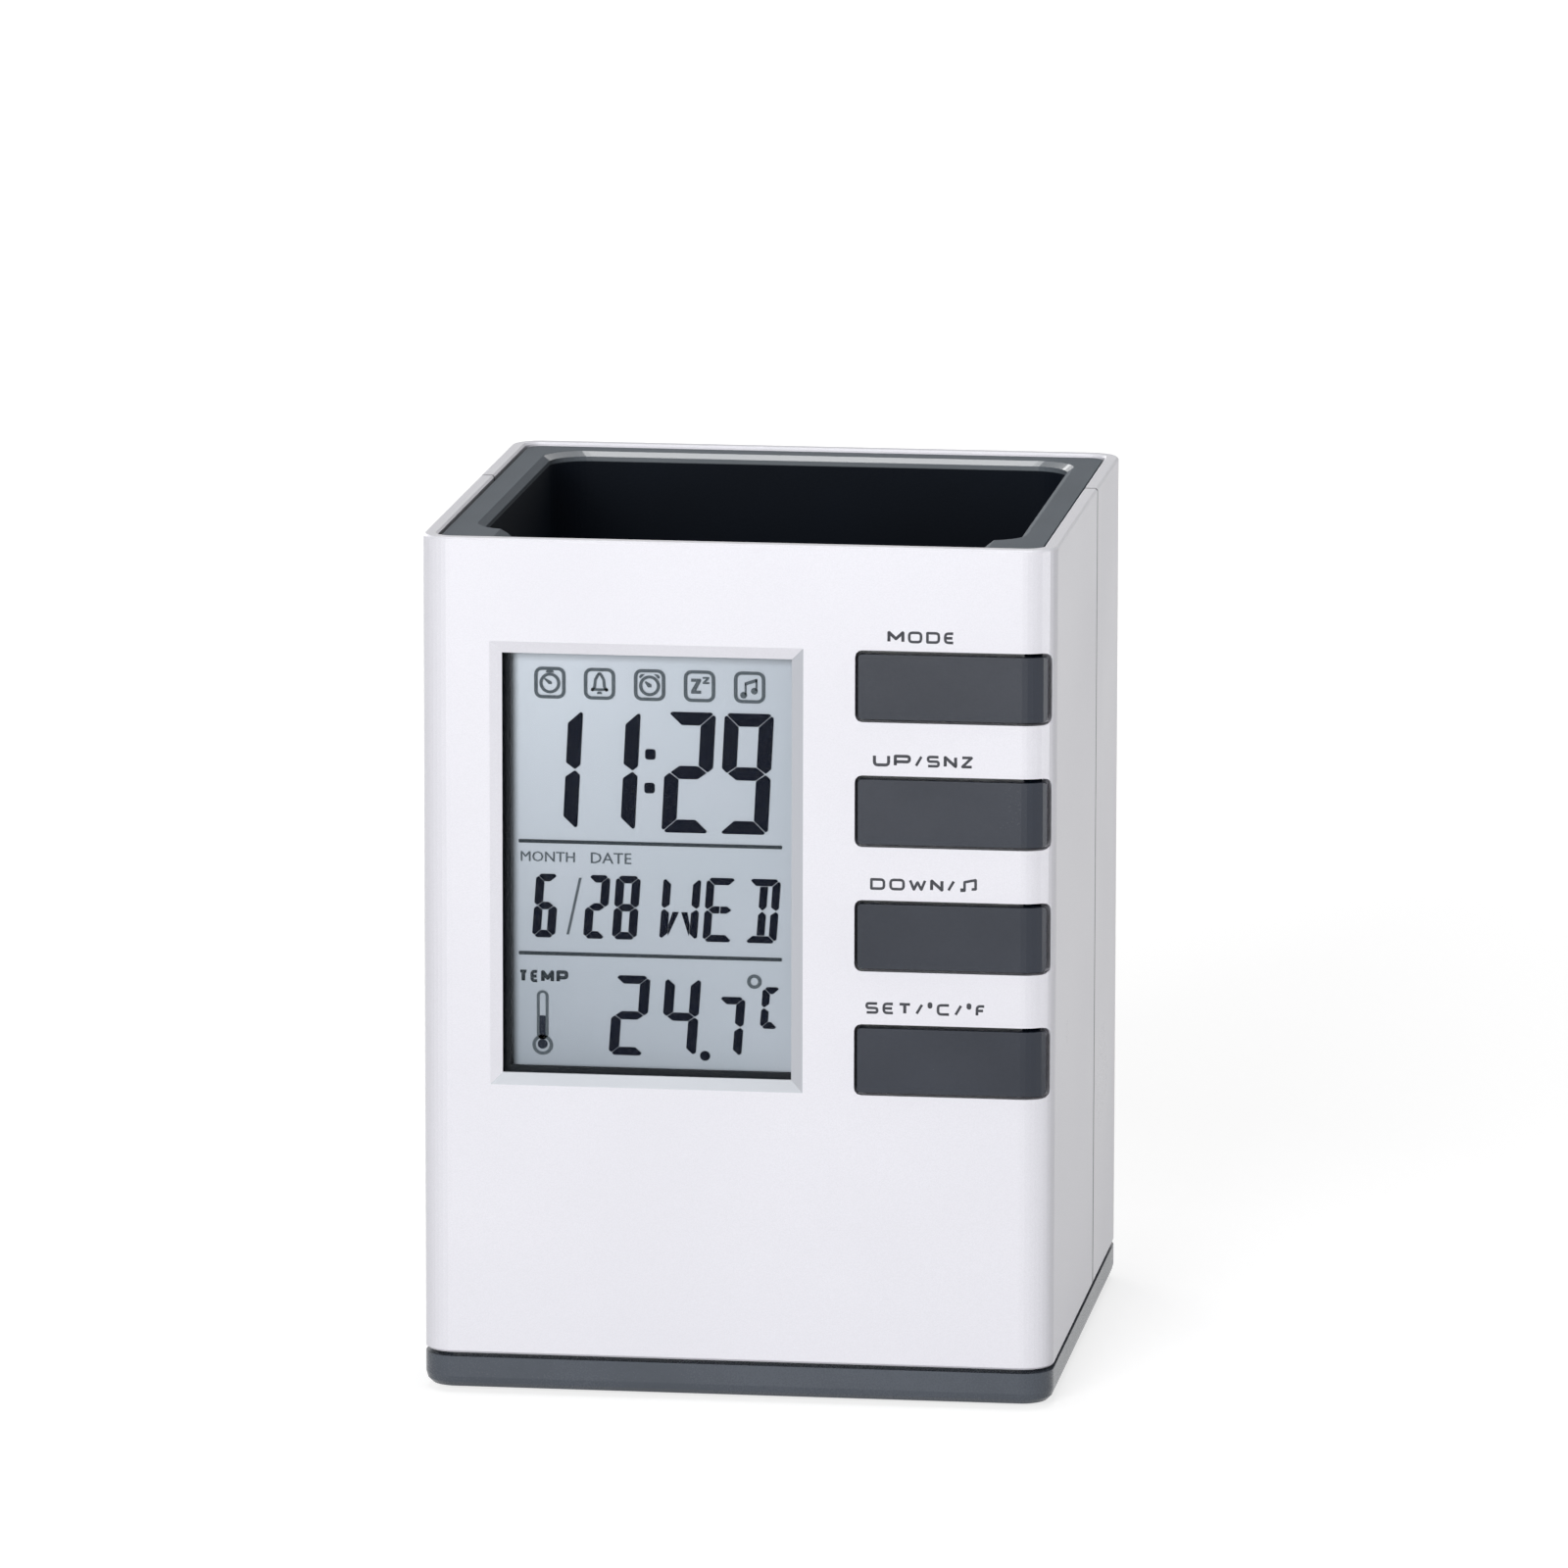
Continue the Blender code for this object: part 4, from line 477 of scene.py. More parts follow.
def clear_pane(name, tint, gloss, haze):
    """A thin clear pane: it mirrors a little, more at low angles, and lets the rest through."""
    f = Finish(name)
    smudge = f.ranged(f.noise(0.012, 4), haze * 0.5, haze * 1.5)
    facing = f.add("ShaderNodeLayerWeight", {"Blend": 0.5}).outputs["Facing"]
    facing = f.sums("MULTIPLY_ADD", f.sums("POWER", facing, 5.0), 1 - gloss, gloss)
    through = f.add("ShaderNodeBsdfTransparent", {"Color": (*tint, 1.0)}).outputs[0]
    mirror = f.add("ShaderNodeBsdfGlossy", {"Roughness": smudge, "Color": (1, 1, 1, 1)}).outputs[0]
    return f.shown(f.add("ShaderNodeMixShader", {0: facing, 1: through, 2: mirror}))


def reflector_foil(bright, dark):
    """Grey foil behind the liquid crystal with a fine matt texture, and painted shade that makes it
    darkest at its lower left.
    """
    f = Finish("reflector_foil")
    low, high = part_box("reflector_film")
    across = f.ranged(f.along("X"), 0, 1, low.x, high.x)
    down = f.ranged(f.along("Z"), 1, 0, low.z, high.z)
    # Painted shade: the foil darkens downwards and towards its right, most at its lower left
    fade = f.times(down, f.sums("MULTIPLY_ADD", across, -0.93, 1.05))
    fade = f.sums("MULTIPLY_ADD", across, 0.52, fade)
    tone = f.mixed(fade, bright, dark)
    cloud = f.noise(0.009, 2)
    tone = f.mixed(f.ranged(cloud, 0, 0.10), tone, (0.62, 0.60, 0.70))
    fibres = f.noise(0.00025, 2, f.stretch((1, 1, 0.25)))
    return f.surface(tone, f.ranged(fibres, 0.48, 0.62), f.bump(fibres, 0.000008), 0.1)


def ink(name, tone, roughness):
    """Printed ink or dark liquid crystal, slightly uneven."""
    f = Finish(name)
    cover = f.noise(0.0003, 3)
    gloss = f.ranged(cover, roughness - 0.05, roughness + 0.05)
    return f.surface(f.varied(cover, tone, 0.88, 1.12), gloss, f.bump(cover, 0.000002), 0.04)


def metal(name, tone, roughness, streaks=(1, 1, 12), size=0.0009):
    """Plated or rolled metal with fine streaks and a few duller spots."""
    f = Finish(name)
    lines = f.noise(size, 3, f.stretch(streaks))
    spots = f.noise(0.002, 4, roughness=0.65)
    shade = f.mixed(f.ranged(spots, 0, 1, 0.35, 0.75), tone, tinted(tone, 0.78))
    gloss = f.sums("ADD", f.ranged(lines, -0.05, 0.07), f.ranged(spots, roughness, roughness + 0.12))
    return f.surface(shade, gloss, f.bump(lines, 0.000004), Metallic=1.0)


def board_mask():
    """Green solder mask, copper tracks that show through it, and tinned pads."""
    f = Finish("board_mask")
    across = f.stretch((1, 0, 1))
    tracks = f.add("ShaderNodeTexBrick", {
        "Vector": f.stretch((1, 1, 1), (math.pi / 2, 0, 0)), "Scale": 90.0, "Mortar Size": 0.055,
        "Brick Width": 0.9, "Row Height": 0.16, "Mortar Smooth": 0.1,
    }, offset=0.37, squash=0.7).outputs["Fac"]
    wander = f.noise(0.006, 1, across)
    shown = f.times(tracks, f.ranged(wander, 0, 1, 0.47, 0.50))
    dots = {"Vector": across, "Scale": 190.0, "Randomness": 0.35}
    dots = f.add("ShaderNodeTexVoronoi", dots).outputs["Distance"]
    pads = f.times(f.ranged(dots, 1, 0, 0.16, 0.19), f.ranged(wander, 1, 0, 0.44, 0.46))
    tone = f.mixed(f.ranged(f.noise(0.004, 3), 0, 1), (0.012, 0.095, 0.035), (0.020, 0.130, 0.050))
    tone = f.mixed(shown, tone, (0.045, 0.230, 0.070))
    tone = f.mixed(pads, tone, (0.55, 0.55, 0.53))
    height = f.sums("ADD", shown, pads)
    gloss = f.ranged(pads, 0.38, 0.28, 0, 1)
    return f.surface(tone, gloss, f.bump(height, 0.00003), Metallic=f.times(pads, 0.9))


def cell_wrap(node):
    """The printed wrap of a cell, with a light band at its nub end, and bare metal at both ends."""
    f = Finish(f"{node}_wrap")
    low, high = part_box(node)
    along = f.along("X")
    way, nub_end, flat_end = 1, high.x - CELL_NUB, low.x
    if node == "rear_cell":
        way, nub_end, flat_end = -1, low.x + CELL_NUB, high.x

    def past(place):
        """0 before a place along the cell and 1 after it, towards the nub."""
        return f.ranged(along, 0, 1, place - way * CELL_BLEND, place + way * CELL_BLEND)

    band_start = nub_end - way * CELL_BAND
    beyond = past(band_start)
    stripe = f.sums("SUBTRACT", beyond, past(band_start + way * CELL_STRIPE))
    fade = f.noise(0.01, 2)
    body = f.mixed(f.ranged(fade, 0, 1), (0.030, 0.075, 0.180), (0.038, 0.092, 0.215))
    tone = f.mixed(beyond, body, (0.42, 0.44, 0.47))
    tone = f.mixed(stripe, tone, (0.75, 0.75, 0.75))
    cap = past(nub_end - way * CELL_EDGE)
    foot = f.sums("SUBTRACT", 1.0, past(flat_end + way * CELL_EDGE))
    bare = f.sums("MAXIMUM", cap, foot)
    tone = f.mixed(bare, tone, (0.60, 0.59, 0.57))
    scuffs = f.noise(0.0008, 4, f.stretch((0.2, 1, 1)))
    gloss = f.ranged(scuffs, 0.24, 0.36)
    return f.surface(tone, gloss, f.bump(scuffs, 0.000006), Metallic=bare)


def ceramic():
    """Fired ceramic disc with its matt silver electrode."""
    f = Finish("sounder_ceramic_face")
    grit = f.noise(0.0003, 3)
    tone = f.mixed(f.ranged(grit, 0, 1), (0.60, 0.59, 0.55), (0.72, 0.71, 0.68))
    gloss = f.ranged(grit, 0.42, 0.6)
    return f.surface(tone, gloss, f.bump(grit, 0.00001), Metallic=0.35)


def put_on(material, *nodes):
    """Gives CAD nodes a material."""
    for node in nodes:
        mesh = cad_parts[node].data
        if not mesh.materials:
            mesh.materials.append(material)
        for index in range(len(mesh.materials)):
            mesh.materials[index] = material


def in_scene(name, data):
    """A new object in the scene."""
    obj = bpy.data.objects.new(name, data)
    bpy.context.scene.collection.objects.link(obj)
    return obj


def make_piece(name, bm, material, body):
    """A finished piece from a mesh under construction, which rides on a body."""
    bmesh.ops.remove_doubles(bm, verts=bm.verts[:], dist=0.0000005)
    bmesh.ops.recalc_face_normals(bm, faces=bm.faces[:])
    mesh = bpy.data.meshes.new(name)
    bm.to_mesh(mesh)
    bm.free()
    mesh.materials.append(material)
    piece = in_scene(name, mesh)
    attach(piece, body)


def add_mesh(bm, mesh):
    """Adds a mesh to the one under construction, and drops it."""
    bm.from_mesh(mesh)
    bpy.data.meshes.remove(mesh)


def plates(outlines, rounding=0.0, line=0.0):
    """Flat upright shapes from outlines of (x, z), rounded, and hollowed to a line if one is given."""
    bm = bmesh.new()
    for outline in outlines:
        bm.faces.new([bm.verts.new((x, 0.0, z)) for x, z in outline])
    if rounding:
        bmesh.ops.bevel(
            bm, geom=bm.verts[:], offset=rounding, segments=4, profile=0.5, affect="VERTICES",
            material=-1,
        )
    hollow(bm, line)
    return bm


def discs(spots, radius, line=0.0):
    """Flat upright discs around (x, z) spots, or rings where a line width is given."""
    bm = bmesh.new()
    for x, z in spots:
        turned = Matrix.Translation((x, 0.0, z)) @ Matrix.Rotation(math.pi / 2, 4, "X")
        bmesh.ops.create_circle(bm, cap_ends=True, radius=radius, segments=24, matrix=turned)
    hollow(bm, line)
    return bm


def hollow(bm, line):
    """Leaves only a line of a width along the edge of each face."""
    if line:
        middles = bm.faces[:]
        bmesh.ops.inset_individual(bm, faces=middles, thickness=line, use_even_offset=True)
        bmesh.ops.delete(bm, geom=middles, context="FACES")


def merged(parts):
    """Several meshes under construction as one."""
    whole = bmesh.new()
    for part in parts:
        mesh = bpy.data.meshes.new("part")
        part.to_mesh(mesh)
        part.free()
        add_mesh(whole, mesh)
    return whole


def thicken(bm, front, depth):
    """Gives flat upright faces a depth, behind a plane that faces the front."""
    sheet = bmesh.ops.extrude_face_region(bm, geom=bm.faces[:])
    moved = [part for part in sheet["geom"] if isinstance(part, bmesh.types.BMVert)]
    bmesh.ops.translate(bm, verts=moved, vec=(0.0, depth, 0.0))
    bmesh.ops.translate(bm, verts=bm.verts[:], vec=(0.0, front, 0.0))


def display_piece(name, parts, sizes, material):
    """A mark of the display from its flat parts, in the liquid crystal's layer."""
    bm = merged(parts)
    thicken(bm, -sizes.figure_front, sizes.figure_depth)
    make_piece(name, bm, material, "housing")


def word_piece(name, meshes, sizes, material):
    """Words of the display from their meshes, in the liquid crystal's layer."""
    bm = bmesh.new()
    for mesh in meshes:
        add_mesh(bm, mesh)
    layer = sizes.figure_depth / 2 - sizes.figure_front
    bmesh.ops.translate(bm, verts=bm.verts[:], vec=(0.0, layer, 0.0))
    make_piece(name, bm, material, "housing")


def flipped(outline, across, up):
    """An outline mirrored where across or up is -1."""
    return [(across * x, up * z) for x, z in outline]


def segment_outlines(width, height, stroke, level, corner, joint):
    """The outlines of all segments of a figure, as (x, z) from its middle.

    stroke and level are the widths of upright and level segments, corner the share of them that
    the outer corners lose, and joint the space between two segments.
    """
    x, z, s = width / 2, height / 2, joint / 2
    cut, drop, tip = corner * stroke, corner * level, 0.35
    inner, under, half, nose = x - stroke, z - level, level / 2, x - tip * stroke
    top = [
        (-x + 2 * cut, z), (x - 2 * cut, z), (x - cut - s, z - drop), (inner - s, under),
        (-inner + s, under), (-x + cut + s, z - drop),
    ]
    upper_right = [
        (x, z - 2 * drop), (x - cut, z - drop - s), (inner, under - s), (inner, half + s),
        (nose, s), (x, s + tip * level),
    ]
    middle = [
        (-nose + 2 * s, 0), (-inner + s, half), (inner - s, half), (nose - 2 * s, 0),
        (inner - s, -half), (-inner + s, -half),
    ]
    right_half = [(s, half), *middle[2:5], (s, -half)]
    stem = [
        (-stroke / 2, under - s), (stroke / 2, under - s), (stroke / 2, half + s), (0, s),
        (-stroke / 2, half + s),
    ]
    brace = [
        (stroke * 0.1 + s, -level * 0.45), (stroke * 0.95, -level * 0.45),
        (inner - s, -z + level * 2.3), (inner - s, -z + level * 0.7),
    ]
    low_right, low_left = flipped(upper_right, 1, -1), flipped(upper_right, -1, -1)
    return {
        "a": top, "b": upper_right, "c": low_right, "d": flipped(top, 1, -1), "e": low_left,
        "f": flipped(upper_right, -1, 1), "g": middle, "h": flipped(right_half, -1, 1),
        "i": right_half, "j": stem, "k": flipped(stem, 1, -1), "l": flipped(brace, -1, 1), "m": brace,
    }


def figures(name, stroke, slant):
    """The lit segments of a row of figures, which lean by a slant."""
    row, bottom, top, upright, level, corner, joint = ROWS[name]
    height, middle = (top - bottom) * MM, (top + bottom) / 2 * MM
    outlines = []
    for character, left, width in row:
        centre = (left + width / 2) * MM
        shapes = segment_outlines(
            width * MM, height, stroke * upright, stroke * level, corner, joint * MM
        )
        for segment in LIT_SEGMENTS[character]:
            outlines.append([
                (centre + px + pz * math.tan(slant), middle + pz) for px, pz in shapes[segment]
            ])
    return plates(outlines, stroke * upright * 0.07)


def box_outline(x, z, width, height):
    """The corners of a box around a middle."""
    return [(x + i * width / 2, z + j * height / 2) for i, j in ((-1, -1), (1, -1), (1, 1), (-1, 1))]


def rounded_path(points, radius, closed):
    """A path of (x, z) points, its marked corners turned into arcs of a radius."""
    path = []
    last = len(points) - 1
    for index, point in enumerate(points):
        here = Vector(point[:2])
        if not closed and index in (0, last):
            path.append(here)
            continue
        before = Vector(points[index - 1][:2]) - here
        after = Vector(points[0 if index == last else index + 1][:2]) - here
        reach = radius if len(point) > 2 else radius * 0.12
        reach = min(reach, before.length * 0.48, after.length * 0.48)
        start, end = here + before.normalized() * reach, here + after.normalized() * reach
        for step in range(5):
            t = step / 4
            path.append(start * (1 - t) ** 2 + here * 2 * t * (1 - t) + end * t ** 2)
    return path


def as_mesh(curve):
    """The mesh of a curve or of words, which are dropped."""
    holder = bpy.data.objects.new("holder", curve)
    mesh = bpy.data.meshes.new_from_object(holder)
    bpy.data.objects.remove(holder)
    bpy.data.curves.remove(curve)
    return mesh


def line_mesh(paths, width, thickness):
    """Printed lines along paths of (x, z), as a mesh around the plane y = 0."""
    curve = bpy.data.curves.new("lines", "CURVE")
    curve.dimensions = "3D"
    curve.bevel_depth = width / 2
    curve.bevel_resolution = 1
    curve.use_fill_caps = True
    for points, closed in paths:
        spline = curve.splines.new("POLY")
        spline.points.add(len(points) - 1)
        for knot, (x, z) in zip(spline.points, points):
            knot.co = (x, 0.0, z, 1.0)
        spline.use_cyclic_u = closed
    mesh = as_mesh(curve)
    mesh.transform(Matrix.Diagonal((1.0, thickness / width, 1.0, 1.0)))
    return mesh


def word_mesh(words, left, right, middle, height, thickness):
    """Upright words in the built-in type, fitted between two ends and to a height."""
    text = bpy.data.curves.new("words", "FONT")
    text.body = words
    text.size = 1.0
    text.resolution_u = 2
    text.extrude = thickness / 2
    mesh = as_mesh(text)
    xs, ys = [v.co.x for v in mesh.vertices], [v.co.y for v in mesh.vertices]
    stretch = Vector(((right - left) / (max(xs) - min(xs)), height / (max(ys) - min(ys)), 1.0, 1.0))
    mesh.transform(Matrix.Translation((-min(xs), -(max(ys) + min(ys)) / 2, 0.0)))
    mesh.transform(Matrix.Diagonal(stretch))
    mesh.transform(Matrix.Translation((left, 0.0, middle)) @ Matrix.Rotation(math.pi / 2, 4, "X"))
    return mesh


def label_paths(words, left, right, middle, height, line, rounding):
    """The strokes of printed letters, fitted between a left and a right end."""
    spaces = LETTER_SPACE * (len(words) - 1)
    fit = (right - left) / (sum(LETTER_WIDTHS[letter] for letter in words) + spaces)
    paths = []
    for letter in words:
        width = LETTER_WIDTHS[letter] * fit
        wide, high = width - line, height - line
        closed = letter in CLOSED_LETTERS
        for points in LETTER_STROKES[letter]:
            placed = [
                (left + line / 2 + point[0] * wide, middle + (point[1] - 0.5) * high, *point[2:])
                for point in points
            ]
            paths.append((rounded_path(placed, rounding, closed), closed))
        left += width + LETTER_SPACE * fit
    return paths


class PENCLOCK_OT_housing(bpy.types.Operator):
    """Paint both housing halves in pearl silver"""

    bl_idname = "pen_clock.housing"
    bl_label = "Housing halves"

    def execute(self, context):
        colours = settings(context)[0]
        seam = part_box("front_shell")[1].y
        put_on(silver_paint("front_paint", colours.silver, bevel_shade=True), "front_shell")
        put_on(silver_paint("rear_paint", colours.silver, seam + SEAM_SHADE_BAND), "rear_shell")
        return {"FINISHED"}


class PENCLOCK_OT_cup(bpy.types.Operator):
    """Finish the pen cup: grey rim and a darker pocket"""

    bl_idname = "pen_clock.cup"
    bl_label = "Pen cup"

    def execute(self, context):
        colours = settings(context)[0]
        put_on(cup_plastic(colours.cup, colours.pocket), "pen_cup")
        return {"FINISHED"}


class PENCLOCK_OT_base(bpy.types.Operator):
    """Finish the foot, its battery cover, rubber pads and screws"""

    bl_idname = "pen_clock.base"
    bl_label = "Base, cover and feet"

    def execute(self, context):
        colours = settings(context)[0]
        put_on(moulded("base_plastic", colours.base, 0.27, 0.00022, 0.00001), "base_tray")
        cover = moulded("cover_plastic", tinted(colours.base, 0.92), 0.38, 0.0002, 0.000014)
        put_on(cover, "battery_cover")
        feet = [f"foot_{end}_{side}" for end in ("front", "rear") for side in ("left", "right")]
        put_on(moulded("foot_rubber", (0.022, 0.022, 0.024), 0.8, 0.0003, 0.00003, 0.15), *feet)
        screws = [f"{where}_screw_{index}" for where in ("case", "board") for index in (1, 2, 3, 4)]
        put_on(metal("plated_screw", (0.60, 0.60, 0.58), 0.24), *screws)
        self.add_arrow(cover)
        return {"FINISHED"}

    def add_arrow(self, material):
        """The raised arrow that shows which way the cover slides."""
        low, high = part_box("battery_cover")
        head, stem, half, thin, rise = mm(4.2, 4.5, 3.6, 1.512, 0.2)
        middle = (low.y + high.y) / 2 - stem
        outline = [
            (0.0, middle + head), (-half, middle), (-thin, middle), (-thin, middle - stem),
            (thin, middle - stem), (thin, middle), (half, middle),
        ]
        bm = plates([outline], 0.3 * MM)
        thicken(bm, 0.0, rise * 2)
        bmesh.ops.rotate(bm, verts=bm.verts[:], matrix=Matrix.Rotation(math.pi / 2, 3, "X"))
        for vertex in bm.verts:
            vertex.co.y = -vertex.co.y
        bmesh.ops.translate(bm, verts=bm.verts[:], vec=(0.0, 0.0, low.z - rise))
        make_piece("cover_arrow", bm, material, "cover")


class PENCLOCK_OT_keys(bpy.types.Operator):
    """Finish the four keys, their plungers and switches"""

    bl_idname = "pen_clock.keys"
    bl_label = "Keys"

    def execute(self, context):
        colours = settings(context)[0]
        keys = moulded("key_plastic", colours.key, 0.22, 0.00018, 0.000006, gloss_level=0.5)
        plungers = moulded("plunger_plastic", (0.16, 0.16, 0.16), 0.4, 0.0002, 0.000006)
        switches = moulded("switch_plastic", (0.022, 0.022, 0.024), 0.45, 0.0002, 0.00001)
        for name in ("mode", "up", "down", "set"):
            put_on(keys, f"{name}_button")
            put_on(plungers, f"{name}_plunger")
            put_on(switches, f"{name}_switch")
        return {"FINISHED"}


class PENCLOCK_OT_labels(bpy.types.Operator):
    """Print the words above the keys"""

    bl_idname = "pen_clock.labels"
    bl_label = "Key labels"

    def execute(self, context):
        colours, _, sizes, _ = settings(context)
        material = ink("label_ink", colours.label, 0.5)
        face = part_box("front_shell")[0].y
        for key, words, *ends, above in KEY_LABELS:
            low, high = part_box(f"{key}_button")
            middle = (low.z + high.z) / 2 + above * MM
            paths = label_paths(
                words, *mm(*ends), middle, sizes.height, sizes.line, sizes.rounding
            )
            bm = bmesh.new()
            add_mesh(bm, line_mesh(paths, sizes.line, sizes.thickness))
            bmesh.ops.translate(bm, verts=bm.verts[:], vec=(0.0, face, 0.0))
            make_piece(f"{key}_label", bm, material, "housing")
        return {"FINISHED"}


class PENCLOCK_OT_display(bpy.types.Operator):
    """Finish the lens, the display's panes, foil, holder and contact strips"""

    bl_idname = "pen_clock.display"
    bl_label = "Display"

    def execute(self, context):
        colours = settings(context)[0]
        put_on(clear_pane("clear_lens_acrylic", (0.994, 0.996, 0.996), 0.0025, 0.05), "display_lens")
        pane = clear_pane("display_pane_glass", (0.990, 0.996, 0.994), 0.0005, 0.08)
        put_on(pane, "display_front_glass")
        put_on(reflector_foil(colours.film, colours.film_shade), "display_rear_glass", "reflector_film")
        black = (0.010, 0.013, 0.017)
        holder = moulded("holder_plastic", black, 0.6, 0.0002, 0.00001, gloss_level=0.1)
        put_on(holder, "display_holder")
        strips = moulded("strip_rubber", (0.45, 0.25, 0.27), 0.7, 0.0004, 0.00002)
        put_on(strips, "upper_strip", "lower_strip")
        return {"FINISHED"}


class PENCLOCK_OT_time(bpy.types.Operator):
    """Make the large figures of the time and their colon"""

    bl_idname = "pen_clock.time"
    bl_label = "Time"

    def execute(self, context):
        colours, sizes, _, _ = settings(context)
        material = ink("segment_black", colours.segment, 0.35)
        row = figures("time", sizes.time_stroke, sizes.time_slant)
        display_piece("time_figures", [row], sizes, material)
        dots = [box_outline(*mm(x, z, 1.3, 1.35)) for x, z in COLON_DOTS]
        display_piece("time_colon", [plates(dots, 0.35 * MM)], sizes, material)
        return {"FINISHED"}


class PENCLOCK_OT_date(bpy.types.Operator):
    """Make the date, the weekday and their slash"""

    bl_idname = "pen_clock.date"
    bl_label = "Date and weekday"

    def execute(self, context):
        colours, sizes, _, _ = settings(context)
        material = ink("date_black", colours.segment, 0.35)
        for name, piece in (("date", "date_figures"), ("weekday", "weekday_letters")):
            row = figures(name, sizes.date_stroke, sizes.date_slant)
            display_piece(piece, [row], sizes, material)
        slash = plates([[mm(*point) for point in DATE_SLASH]])
        display_piece("date_slash", [slash], sizes, ink("slash_grey", colours.small_mark, 0.4))
        return {"FINISHED"}


class PENCLOCK_OT_temperature(bpy.types.Operator):
    """Make the temperature, its unit and the thermometer mark"""

    bl_idname = "pen_clock.temperature"
    bl_label = "Temperature"

    def execute(self, context):
        colours, sizes, _, _ = settings(context)
        material = ink("temperature_black", colours.segment, 0.35)
        light = ink("thermometer_grey", colours.small_mark, 0.4)
        dark = ink("filling_dark", (0.02, 0.025, 0.04), 0.4)
        row, tenths, unit = [
            figures(name, sizes.temperature_stroke, sizes.date_slant)
            for name in ("temperature", "tenths", "unit")
        ]
        point = discs([mm(-4.45, 43.5)], 0.63 * MM)
        degree = discs([mm(1.8, 53.2)], 0.92 * MM, 0.42 * MM)
        stem = plates([box_outline(*mm(THERMOMETER, 48.2, 1.45, 6.3))], 0.7 * MM, 0.33 * MM)
        bulb = discs([mm(THERMOMETER, 44.35)], 1.3 * MM, 0.4 * MM)
        filled = plates([box_outline(*mm(THERMOMETER, 46.58, 0.72, 3.04))], 0.1 * MM)
        blob = discs([mm(THERMOMETER, 44.45)], 0.62 * MM)
        display_piece("temperature_figures", [row, tenths, point], sizes, material)
        display_piece("temperature_unit", [unit], sizes, material)
        display_piece("degree_ring", [degree], sizes, light)
        display_piece("thermometer_outline", [stem, bulb], sizes, light)
        display_piece("thermometer_filling", [filled, blob], sizes, dark)
        return {"FINISHED"}


class PENCLOCK_OT_marks(bpy.types.Operator):
    """Make the display's dividing lines, small words and icons"""

    bl_idname = "pen_clock.marks"
    bl_label = "Lines, words and icons"

    def execute(self, context):
        colours, sizes, _, _ = settings(context)
        dark = ink("rule_grey", (0.040, 0.050, 0.060), 0.4)
        light = ink("icon_grey", colours.small_mark, 0.4)
        middle, wide = mm(RULE_MIDDLE, RULE_LENGTH)
        rules = [box_outline(middle, z * MM, wide, sizes.rule_thickness) for z in RULE_HEIGHTS]
        display_piece("display_rules", [plates(rules, 0.12 * MM)], sizes, dark)
        words = [word_mesh(word, *mm(*place), sizes.figure_depth) for word, *place in DISPLAY_WORDS]
        word_piece("display_words", words, sizes, light)
        bold = 0.43 * MM
        paths = label_paths("TEMP", *mm(-28.15, -21.85, 53.14, 1.62), bold, 0.3 * MM)
        word_piece("temperature_word", [line_mesh(paths, bold, sizes.figure_depth)], sizes, dark)
        self.add_icons(sizes, light)
        return {"FINISHED"}

    def add_icons(self, sizes, material):
        """Five framed icons: timer, bell, alarm clock, snooze and tune."""
        size, line, height = sizes.icon_size, sizes.icon_line, ICON_HEIGHT * MM

        def placed(icon, points):
            """Points of an icon, given from its middle."""
            return [mm(ICONS[icon][0] + x, ICON_HEIGHT + z) for x, z in points]

        frames = [box_outline(x * MM, height, size, size * 1.02) for x, _ in ICONS.values()]
        shapes = [placed(icon, points) for icon, (_, group) in ICONS.items() for points in group]
        rings = placed("timer", [(0.0, -0.05)]) + placed("alarm", [(0.0, -0.1)])
        heads = placed("tune", [(-0.75, -1.0), (0.6, -0.45)])
        display_piece("display_icons", [
            plates(frames, 0.95 * MM, line),
            discs(rings, 1.32 * MM, line * 0.9),
            plates([placed("bell", BELL_DOME)], 0.08 * MM, line * 0.8),
            plates(shapes, 0.06 * MM),
            discs(heads, 0.42 * MM),
        ], sizes, material)


class PENCLOCK_OT_circuit(bpy.types.Operator):
    """Finish the board and the parts on it"""

    bl_idname = "pen_clock.circuit"
    bl_label = "Circuit"

    def execute(self, context):
        put_on(board_mask(), "circuit_board")
        put_on(moulded("epoxy_blob", (0.012, 0.012, 0.013), 0.22, 0.0012, 0.00003), "chip_blob")
        put_on(moulded("capacitor_sleeve", (0.012, 0.014, 0.03), 0.3, 0.0006, 0.00001), "capacitor")
        put_on(metal("quartz_can", (0.66, 0.66, 0.64), 0.2), "quartz_crystal")
        put_on(moulded("thermistor_bead", (0.05, 0.028, 0.015), 0.3, 0.0006, 0.00002), "thermistor")
        brass = metal("sounder_brass_sheet", (0.72, 0.52, 0.22), 0.28, (1, 1, 1), 0.0006)
        put_on(brass, "sounder_plate")
        put_on(ceramic(), "sounder_ceramic")
        lead = moulded("thin_lead_cover", (0.015, 0.015, 0.016), 0.45, 0.0006, 0.00001)
        put_on(lead, "sounder_lead_1", "sounder_lead_2")
        return {"FINISHED"}


